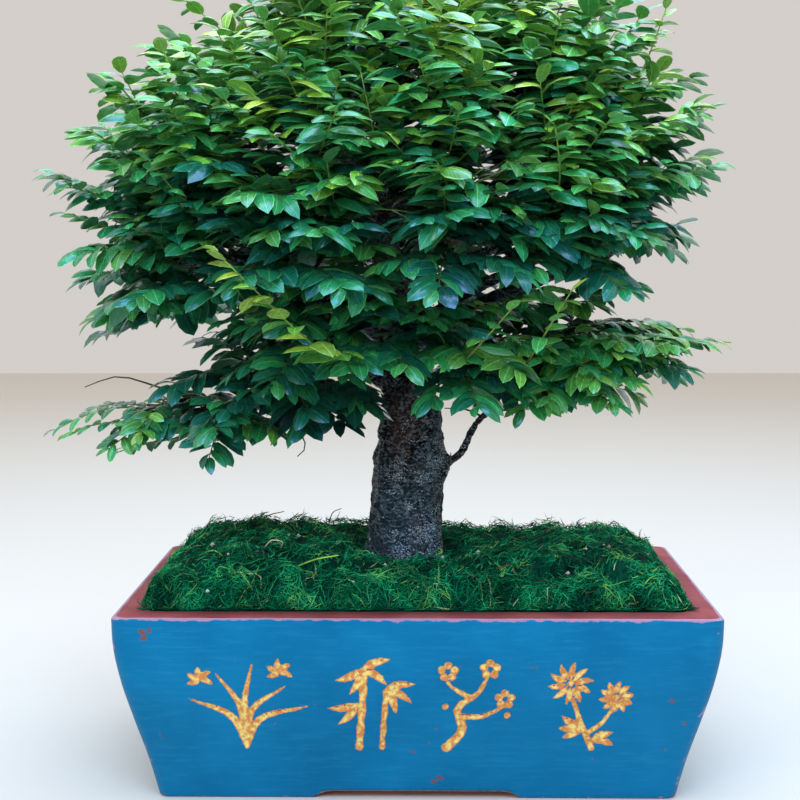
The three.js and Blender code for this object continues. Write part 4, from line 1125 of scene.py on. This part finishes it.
def add_strand(bundle, rng, feathery):
    """One strand of moss, or one frond with its leaflets, unless it meets the trunk or hangs over."""
    x, y, turn = strand_place(rng)
    if math.hypot(x - TRUNK_MIDDLE, y) < MOSS_HOLE_RADIUS + 2:
        return
    length = rng.uniform(*FROND_LENGTH) if feathery else rng.uniform(*STRAND_LENGTH)
    lift = abs(rng.normal(0, 2.6)) + (4 if rng.random() < 0.05 else 0)
    path, clump = lying_path(x, y, turn, length, rng.normal(0, 100), lift, 3 if feathery else 2)
    over_end = np.abs(path[:, 0]).max() - MOSS_HALF_WIDTH - MOSS_OVER_RIM
    over_front = np.abs(path[:, 1]).max() - MOSS_HALF_DEPTH
    from_trunk = np.hypot(path[:, 0] - TRUNK_MIDDLE, path[:, 1]).min()
    if max(over_end, over_front) > STRAND_OVERHANG or from_trunk < MOSS_HOLE_RADIUS:
        return
    depth = rng.uniform(-3, 1.5)
    above_rim = POT_HEIGHT + 0.8 + lift * np.linspace(0, 0.8, len(path))
    path[:, 2] = np.maximum(path[:, 2] + depth, above_rim)
    form = strand_form(path, STRAND_RADIUS * rng.uniform(0.7, 1.25))
    # Strands in the hollows between clumps and set deeper are painted darker as shade, and those on the
    # clumps lighter
    tone = min(0.84, max(0.05, 0.48 + 0.5 * clump + 0.07 * depth + rng.normal(0, 0.15)))
    if rng.random() < DEAD_STRAND_SHARE:
        tone = rng.choice(DEAD_STRAND_TONES)
    bundle.add(*form, tone=tone)
    if feathery:
        bundle.add(*barb_forms(path, rng), tone=min(0.95, tone + 0.08))


def build_strands(material):
    """Tangled moss: plain strands and feathery fronds, lying over the mound in every direction."""
    rng = np.random.default_rng(7)
    plain = (STRAND_COUNT // 2, False)
    for piece, (count, feathery) in enumerate((plain, plain, (FROND_COUNT, True)), 1):
        bundle = Bundle()
        for _ in range(count):
            add_strand(bundle, rng, feathery)
        finished(bundle.mesh(f"moss_strands_{piece}", material), "moss")
    twigs = Bundle()
    for path, radius, tone in MOSS_TWIGS:
        path = smooth_path(path, 8)
        twigs.add(*tube(path, radius * np.linspace(1, 0.5, len(path)), 5), tone=tone)
    finished(twigs.mesh("moss_twigs", material), "moss")


def build_grit(material):
    """Stone chips lying on the moss: squashed eight-sided forms."""
    rng = np.random.default_rng(11)
    bundle = Bundle()
    corners = np.array([(1, 0, 0), (-1, 0, 0), (0, 1, 0), (0, -1, 0), (0, 0, 1), (0, 0, -1)], float)
    sides = np.array([
        (0, 2, 4), (2, 1, 4), (1, 3, 4), (3, 0, 4), (2, 0, 5), (1, 2, 5), (3, 1, 5), (0, 3, 5),
    ])
    for _ in range(CHIP_COUNT):
        x = rng.uniform(-190, 190)
        y = -rng.uniform(0, 112) if rng.random() < 0.8 else rng.uniform(0, 100)
        size = rng.uniform(*CHIP_SIZE)
        shape = corners * rng.uniform(0.6, 1.2, (6, 1)) * size
        ground = moss_surface(np.array([x]), np.array([y]))[0][0]
        bundle.add(shape + (x, y, ground + size * 0.5), [sides], tone=rng.uniform(0, 1))
    finished(bundle.mesh("stone_chips", material, smooth=False), "moss")


# Wood

def trunk_form():
    """The trunk's rings, smoothed between the solid's own, with flutes and a burl."""
    z, x, radius = np.array(TRUNK_RINGS, float).T
    path = smooth_path(np.column_stack([x, radius, z]), 90)
    angles = np.arange(72) * 2 * math.pi / 72
    rings = []
    for centre, reach, height in path:
        level = np.interp(height, z, np.arange(len(z)))
        flutes = 1 + 0.035 * np.cos(5 * angles + level) + 0.025 * np.cos(3 * angles - 1.3 * level)
        burl = fading(height - BURL_HEIGHT, *BURL_FORM) * np.maximum(0, np.cos(angles)) ** 3
        out = reach * flutes + burl
        x_values, y_values = centre + out * np.cos(angles), out * np.sin(angles)
        rings.append(np.column_stack([x_values, y_values, np.full(72, height)]))
    return stack(rings)


def limb_form(points, radii):
    """A limb: tapered, swollen where it leaves the wood, and slightly knobbly."""
    path = smooth_path(points, 36)
    along = np.linspace(0, 1, len(path))
    collar = 1 + fading(along * path_length(path), *LIMB_COLLAR)
    knobs = np.array([1 + LIMB_KNOBS * noise.noise(Vector(p) / 9) for p in path])
    return tube(path, (radii[0] + (radii[1] - radii[0]) * along) * collar * knobs, 14)


def root_form(index):
    """One of the roots under the moss, as in the solid."""
    away = heading(20 + 90 * index, 0)
    start = np.array([TRUNK_MIDDLE, 0, 112]) + away * 12
    path = [start, start + away * 39 + UP * -8, start + away * 86 + UP * -38]
    return tube(smooth_path(path, 12), np.linspace(9, 3, 13), 12)


def bark_shift(point, on_trunk):
    """How far the bark stands out at a point: knobs, wrinkles, scales and grain, and furrows up it."""
    x, y, z = point
    knobs, wrinkles, scales, grain, furrow = (
        noise.noise(Vector((x / wide, y / wide, z / high))) for wide, high in BARK_RELIEF
    )
    if on_trunk:
        cut = max(0, FURROW_EDGE - abs(furrow)) / FURROW_EDGE
        return 2.8 * knobs + 0.5 * wrinkles + 0.5 * scales + 0.7 * grain - FURROW_DEPTH * cut
    return 0.4 * knobs + 0.3 * wrinkles + 0.3 * scales


def refine_trunk(mesh):
    """Splits every face of the bare trunk in four, for the bark's relief."""
    shape = bmesh.new()
    shape.from_mesh(mesh)
    edges = []
    for edge in shape.edges:
        x, y, z = ((edge.verts[0].co + edge.verts[1].co) / 2 - Vector(SHIFT)) * 1000
        if BARE_TRUNK[0] < z < BARE_TRUNK[1] and math.hypot(x + 8, y) < 38:
            edges.append(edge)
    bmesh.ops.subdivide_edges(shape, edges=edges, cuts=1, use_grid_fill=True, smooth=0.6)
    shape.to_mesh(mesh)
    shape.free()


def build_wood(material):
    """Trunk, roots and limbs melted into one skin, then given their bark's relief."""
    bundle = Bundle()
    bundle.add(*trunk_form())
    for index in range(4):
        bundle.add(*root_form(index))
    for points, radii in LIMBS.values():
        bundle.add(*limb_form(points, radii))
    wood = bundle.mesh("bark_wood", material)
    melt = wood.modifiers.new("melt", "REMESH")
    melt.mode = "VOXEL"
    melt.voxel_size = BARK_VOXEL / 1000
    soften = wood.modifiers.new("soften", "SMOOTH")
    soften.factor = 0.5
    soften.iterations = 4
    apply_modifiers(wood)
    refine_trunk(wood.data)
    mesh = wood.data
    points, normals = read(mesh.vertices, "co", 3), read(mesh.vertices, "normal", 3)
    local = (points - SHIFT) * 1000
    z, middle, radius = np.array(TRUNK_RINGS, float).T
    from_trunk = np.hypot(local[:, 0] - np.interp(local[:, 2], z, middle), local[:, 1])
    on_trunk = (from_trunk < np.interp(local[:, 2], z, radius) + 6) & (local[:, 2] < 350)
    shift = np.array([bark_shift(p, t) for p, t in zip(local.tolist(), on_trunk.tolist())]) / 1000
    mesh.vertices.foreach_set("co", (points + normals * shift[:, None]).ravel())
    # Patches where the pale flecks crowd, partly lichen and partly painted glints
    lichen_and_glint = np.zeros(len(local))
    for x, height, reach in LICHEN_AND_GLINT_PATCHES:
        off = np.hypot(local[:, 0] - x, (local[:, 2] - height) * 1.2)
        lichen_and_glint = np.maximum(lichen_and_glint, fading(off, reach, 1) * (local[:, 1] < 5))
    write_values(mesh, "lichen_and_glint", lichen_and_glint)
    mesh.polygons.foreach_set("use_smooth", np.full(len(mesh.polygons), True))
    mesh.update()
    return finished(wood, "bark", "trunk_and_branches")


# Crown

def seeded_random(seed):
    """The same seeded numbers between 0 and 1 that place the solid's sprays."""
    state = seed
    whole = 2 ** 32

    def draw():
        nonlocal state
        state = (state + 0x6D2B79F5) % whole
        mixed = ((state ^ (state >> 15)) * (1 | state)) % whole
        mixed = ((mixed + (mixed ^ (mixed >> 7)) * (61 | mixed)) % whole) ^ mixed
        return (mixed ^ (mixed >> 14)) / whole

    return draw


def spray_places():
    """Name, tier, foot, turn and slope of every spray, as in the solid."""
    draw = seeded_random(CROWN_SEED)

    def spread(amount):
        return (draw() * 2 - 1) * amount

    places = []
    for tier, count, height, tilt, middle, axes, turns, slope in CROWN_TIERS:
        for index in range(count):
            turn = turns[0] + (turns[1] - turns[0]) * index / count
            angle = math.radians(turn + spread(TURN_SPREAD))
            reach = 1 + spread(REACH_SPREAD)
            x = middle + axes[0] * math.cos(angle) * reach
            y = axes[1] * math.sin(angle) * reach
            foot = np.array([x, y, height + tilt * math.cos(angle) + spread(HEIGHT_SPREAD)])
            name = f"leaves_{tier}_{index + 1}" if count > 1 else f"leaves_{tier}"
            places.append((name, tier, foot, turn, slope + spread(SLOPE_SPREAD)))
    for name, foot, turn, slope in LOW_SPRAYS:
        places.append((f"leaves_{name}", name[:-2], np.array(foot, float), turn, slope))
    return places


def leaf_template(stations, columns):
    """One blade's points and faces. A point is its share of the length and of the half width, and
    its side: 1 on top, -1 underneath and 0 on the edge."""
    count = len(columns)
    rows = [(0, 0, 0)]
    for station in stations:
        rows += [(station, across, 0 if abs(across) == 1 else 1) for across in columns]
    rows.append((1, 0, 0))
    tip = len(rows) - 1
    under = len(rows)
    rows += [(station, 0, -1) for station in stations]
    faces = []
    for level in range(len(stations) - 1):
        left = 1 + level * count
        right = left + count - 1
        for a in range(left, right):
            faces.append((a, a + count, a + count + 1, a + 1))
        faces.append((left, under + level, under + level + 1, left + count))
        faces.append((under + level, right, right + count, under + level + 1))
    ends = []
    high = tip - count
    for column in range(count - 1):
        ends.append((0, 1 + column, 2 + column))
        ends.append((tip, high + column + 1, high + column))
    last_under = under + len(stations) - 1
    ends += [(0, under, 1), (0, count, under), (tip, high, last_under), (tip, last_under, tip - 1)]
    return np.array(rows, float), np.array(faces), np.array(ends)


def leaf_points(leaves, rows):
    """Points of every blade, from its foot, axis and normal and its length, width and bends."""
    share, across, side = rows.T
    half = (4 * share * (1 - share)) ** 0.6
    foot, axis, normal = (np.array([leaf[key] for leaf in leaves]) for key in ("foot", "axis", "normal"))
    length, width, camber, rise, droop, wave = np.array([leaf["size"] for leaf in leaves]).T[:, :, None]
    normal = unit(normal - axis * (normal * axis).sum(axis=1, keepdims=True))
    sideways = np.cross(normal, axis)
    out = length * share
    over = across * half * width / 2
    bend = length * (rise * share - droop * share ** 2)
    fold = np.abs(over) * (0.16 - camber * np.abs(across * half))
    ripple = wave * np.sin(share * 14) * across ** 2
    lift = bend + fold + ripple + side * LEAF_THICKNESS / 2
    return (foot[:, None] + out[..., None] * axis[:, None] + over[..., None] * sideways[:, None]
            + lift[..., None] * normal[:, None])


def build_leaves(name, leaves, template, material, *nodes, hollows=True):
    """One mesh of many blades, without those that would pass the solids' box or fill a hollow."""
    rows, quads, ends = leaf_template(*template)
    points = leaf_points(leaves, rows)
    low = (np.array(cad_box[0]) - SHIFT) * 1000 + 0.5
    high = (np.array(cad_box[1]) - SHIFT) * 1000 - 0.5
    kept = ((points > low) & (points < high)).all(axis=(1, 2))
    if hollows:
        for middle, half_size in CROWN_HOLLOWS:
            kept &= (np.linalg.norm((points.mean(axis=1) - middle) / half_size, axis=1) > 1)
    points = points[kept]
    count = len(rows)
    starts = np.arange(len(points))[:, None, None] * count
    faces = [(starts + quads).reshape(-1, 4), (starts + ends).reshape(-1, 3)]
    uv = np.column_stack([rows[:, 0], 0.5 + 0.5 * rows[:, 1]])
    values = {
        label: np.repeat(np.array([leaf[label] for leaf in leaves])[kept], count)
        for label in ("age", "tone")
    }
    values["under"] = np.tile(0.5 - 0.5 * rows[:, 2], len(points))
    rim = np.tile(rows[:, 2] == 0, len(points))
    thing = add_mesh(name, points.reshape(-1, 3), faces, material, uv=np.tile(uv, (len(points), 1)),
                     values=values, sharp=rim)
    return finished(thing, "leaf", *nodes)


def leafy_shoot(rng, shoots, leaves, path, leaf_length, age, spacing=LEAF_SPACING, stem=1.0, first=0.12):
    """A shoot along a path, with leaves in two ranks, each turned to the light."""
    path = smooth_path(path, 6)
    stem_age = 0.25 + 0.6 * age * np.append(np.repeat(np.linspace(0, 1, len(path)), 3), [0, 1])
    shoots.add(*tube(path, stem * np.linspace(1, 0.45, len(path)), 3), age=stem_age)
    count = max(3, round(path_length(path) * (1 - first) / spacing))
    rank_roll = rng.normal(0, 0.3)
    tangents = unit(np.gradient(path, axis=0))
    for index in range(count):
        share = first + (1 - first) * index / (count - 1)
        ahead = unit(point_along(tangents, share))
        level = unit(np.cross(ahead, UP + rank_roll * unit(np.cross(ahead, UP))))
        if abs(ahead[2]) > 0.93:
            level = np.array([math.cos(rank_roll * 5), math.sin(rank_roll * 5), 0])
        side = 1 if index % 2 else -1
        angle = math.radians(np.interp(share, [0, 0.8, 1], [68, 52, 20]) + rng.normal(0, 7))
        axis = ahead * math.cos(angle) + level * side * math.sin(angle)
        axis[2] = axis[2] * 0.6 + rng.normal(0, 0.08)
        axis = unit(axis)
        roll = rng.normal(0, 0.3)
        normal = unit(UP + roll * np.cross(axis, UP) + 0.36 * ahead)
        size = leaf_length * np.interp(share, [0, 0.25, 0.7, 1], [0.75, 1, 0.98, 0.66])
        size *= rng.uniform(0.86, 1.12)
        leaves.append({
            "foot": point_along(path, share), "axis": axis, "normal": normal,
            "size": (size, size * LEAF_WIDTH_SHARE * rng.uniform(0.9, 1.12), rng.normal(0.42, 0.2),
                     rng.uniform(0.3, 0.5), rng.uniform(0.55, 0.86), rng.uniform(0, 0.3)),
            "age": float(np.clip(age + 0.25 * (share - 0.6) + rng.normal(0, 0.08), 0, 1)),
            "tone": rng.uniform(0.62, 1.4),
        })


def arched(start, ahead, length, end_rise):
    """Three points of a shoot that rises a little in its middle and ends up or down by a share."""
    middle = start + ahead * length * 0.5 + UP * length * 0.04
    return [start, middle, start + ahead * length + UP * length * end_rise]


def spray_shoots(rng, shoots, leaves, tier, foot, turn, slope):
    """The shoots of one spray: three stories of them, each story on a short twig of its own."""
    depth = TIER_DEPTH.get(tier, 1)
    axis = heading(turn, slope)
    over = heading(turn, slope + 90) * depth
    flat = math.cos(math.radians(slope)) * depth
    stories = SPRAY_STORIES + [FILL_STORIES[tier]] if tier in FILL_STORIES else SPRAY_STORIES
    kept, leaf_share, tier_age_and_shade = 1, 1, TIER_AGE_AND_SHADE[tier]
    if tier == "low_left":
        kept = LOW_LEFT_SHOOTS
        leaf_share = np.interp(foot[0], LOW_LEFT_REACH, LOW_LEFT_LEAF)
        tier_age_and_shade = np.interp(foot[0], LOW_LEFT_REACH, LOW_LEFT_AGE)
    elif tier == "low_right":
        leaf_share = LOW_RIGHT_LEAF
    for rise, story in stories:
        inset = 22 if abs(rise) > 30 else 0
        end = foot + over * rise + axis * (3 - inset)
        middle = foot + over * rise * 0.6 - axis * (14 + inset)
        twig = smooth_path([foot - axis * (30 + inset), middle, end], 6)
        shoots.add(*tube(twig, np.linspace(2, 1.1, len(twig)), 6), age=0.1)
        for fan, lift, share in story:
            if rng.random() > kept:
                continue
            fan = (fan + rng.normal(0, 7)) * (1 + 0.6 * (1 - flat))
            steep = slope + lift * (0.4 + 0.6 * flat) + rng.normal(0, 6)
            steep = np.clip(steep, -15, STEEPEST.get(tier, 84))
            ahead = heading(turn + fan, steep)
            length = SPRAY_REACH * share * rng.uniform(0.88, 1.06)
            begin = twig[rng.integers(3, 7)]
            # Stories set back into the crown get darker leaves as painted shade, and rising shoots lighter
            # ones
            age = max(tier_age_and_shade + 0.005 * lift + rng.normal(0, 0.06) - 0.012 * inset, 0.1)
            leaf_length = LEAF_LENGTH * leaf_share * rng.uniform(0.9, 1.1)
            path = arched(begin, ahead, length, -0.1 if slope < 15 else 0.08)
            leafy_shoot(rng, shoots, leaves, path, leaf_length, age)


def inner_shoots(rng, shoots, leaves, branchlet):
    """Short shoots with old dark leaves along a branchlet, their darkness partly painted shade of the
    crown's inside.
    """
    for share, fan in INNER_SHOOTS:
        at = branchlet[round(share * (len(branchlet) - 1))]
        away = branchlet[-1] - branchlet[0]
        turn = math.degrees(math.atan2(away[1], away[0])) + fan + rng.normal(0, 20)
        ahead = heading(turn, rng.normal(12, 16))
        path = arched(at, ahead, rng.uniform(38, 56), -0.05)
        leafy_shoot(rng, shoots, leaves, path, LEAF_LENGTH * rng.uniform(0.95, 1.15), INNER_AGE_AND_SHADE)


def build_crown(leaf, shoot, bark):
    """Every spray of the crown: pieces of leaves and of shoots for each tier, and the branchlets."""
    places = spray_places()
    limb_points = np.concatenate([smooth_path(points, 14)[4:] for points, _ in LIMBS.values()])
    branchlets = Bundle()
    inner, inner_stems = [], Bundle()
    rng = np.random.default_rng(290)
    for name, _, foot, _, _ in places:
        cost = np.linalg.norm(limb_points - foot, axis=1)
        cost = cost + np.maximum(0, 12 - (foot[2] - limb_points[:, 2])) * 0.8
        start = limb_points[cost.argmin()]
        middle = (start + foot) / 2 + UP * np.linalg.norm(foot - start) * 0.08
        path = smooth_path([start, middle, foot], 10)
        wobble = np.array([
            [noise.noise(Vector(p) / 14 + Vector((k * 9, 0, 0))) for k in range(3)] for p in path
        ])
        wobble[[0, -1]] = 0
        branchlets.add(*tube(path + 1.6 * wobble, np.linspace(*BRANCHLET_RADII, len(path)), 8))
        if not name.startswith("leaves_low"):
            inner_shoots(rng, inner_stems, inner, path)
    finished(branchlets.mesh("branchlets", bark), "bark")
    build_leaves("foliage_inner", inner, INNER_BLADE, leaf)
    finished(inner_stems.mesh("shoots_inner", shoot), "bark")
    tiers = {}
    for name, tier, foot, turn, slope in places:
        side = "front" if foot[1] < 30 and tier != "under_back" else "back"
        tiers.setdefault((tier, side), []).append((name, foot, turn, slope))
    for number, ((tier, side), sprays) in enumerate(tiers.items()):
        rng = np.random.default_rng(300 + number)
        shoots = Bundle()
        leaves = []
        for _, foot, turn, slope in sprays:
            spray_shoots(rng, shoots, leaves, tier, foot, turn, slope)
        names = [spray[0] for spray in sprays]
        blade = FINE_BLADE if side == "front" else PLAIN_BLADE
        label = tier + ("" if tier.startswith("under_") else f"_{side}")
        build_leaves(f"foliage_{label}", leaves, blade, leaf, *names)
        finished(shoots.mesh(f"shoots_{label}", shoot), "bark")
    stems, leaves = Bundle(), []
    rng = np.random.default_rng(77)
    for path, leaf_length, age in LONG_SHOOTS:
        leafy_shoot(rng, stems, leaves, path, leaf_length, age, 6.5, 1.1, 0.3)
    for path in BARE_TWIGS:
        stems.add(*tube(smooth_path(path, 8), np.linspace(1.1, 0.4, 9), 5), age=0.12)
    build_leaves("foliage_long_shoots", leaves, FINE_BLADE, leaf, hollows=False)
    finished(stems.mesh("shoots_long", shoot), "bark")


# Stage

def add_camera():
    """The camera at the photograph's place and angle."""
    camera = bpy.data.objects.new("camera", bpy.data.cameras.new("camera"))
    bpy.context.scene.collection.objects.link(camera)
    camera.location = np.array(CAMERA_PLACE) / 1000 + SHIFT
    camera.rotation_euler = (math.pi / 2 + CAMERA_PITCH, CAMERA_ROLL, CAMERA_YAW)
    camera.data.lens = FOCAL_LENGTH
    camera.data.sensor_width = SENSOR_WIDTH
    bpy.context.scene.camera = camera
    bpy.context.scene.view_settings.view_transform = "Standard"


def add_light(name, place, aim, size, power, shade):
    """A soft oblong light aimed at a point over the origin."""
    lamp = bpy.data.lights.new(name, "AREA")
    lamp.shape = "RECTANGLE"
    lamp.size, lamp.size_y = size
    lamp.energy = power
    lamp.color = colour(shade)[:3]
    holder = bpy.data.objects.new(name, lamp)
    bpy.context.scene.collection.objects.link(holder)
    holder.location = place
    holder.rotation_euler = (Vector((0, 0, aim)) - Vector(place)).to_track_quat("-Z", "Y").to_euler()


def add_stage():
    """A plain pale floor, soft studio light and a pale surround."""
    points = np.array([(-1, -1, 0), (1, -1, 0), (1, 1, 0), (-1, 1, 0)]) * FLOOR_SIZE / 2
    material, shader, _ = new_material("pale_floor")
    fill_inputs(shader, {"Base Color": "#e6dfd2", "Roughness": 0.7})
    floor = add_mesh("floor", points, [np.array([[0, 1, 2, 3]])], material, smooth=False)
    world = bpy.data.worlds.new("surround")
    world.use_nodes = True
    fill_inputs(world.node_tree.nodes["Background"], {"Color": "#e9e4df", "Strength": 0.8})
    bpy.context.scene.world = world
    for light in LIGHTS:
        add_light(*light)


glaze, clay = blue_glaze(), red_clay()
leaf, shoot, bark = living_leaf(), young_shoot(), weathered_bark()
moss = damp_moss()
build_pot(glaze, clay)
build_moss(moss)
build_strands(moss)
build_grit(stone_grit())
build_wood(bark)
build_crown(leaf, shoot, bark)
for node, material in (
    ("soil", soil_grains()), ("drain_screen_left", moulded_mesh()), ("drain_screen_right", moulded_mesh()),
):
    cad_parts[node].data.materials.clear()
    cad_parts[node].data.materials.append(material)
add_camera()
add_stage()

bpy.context.view_layer.update()
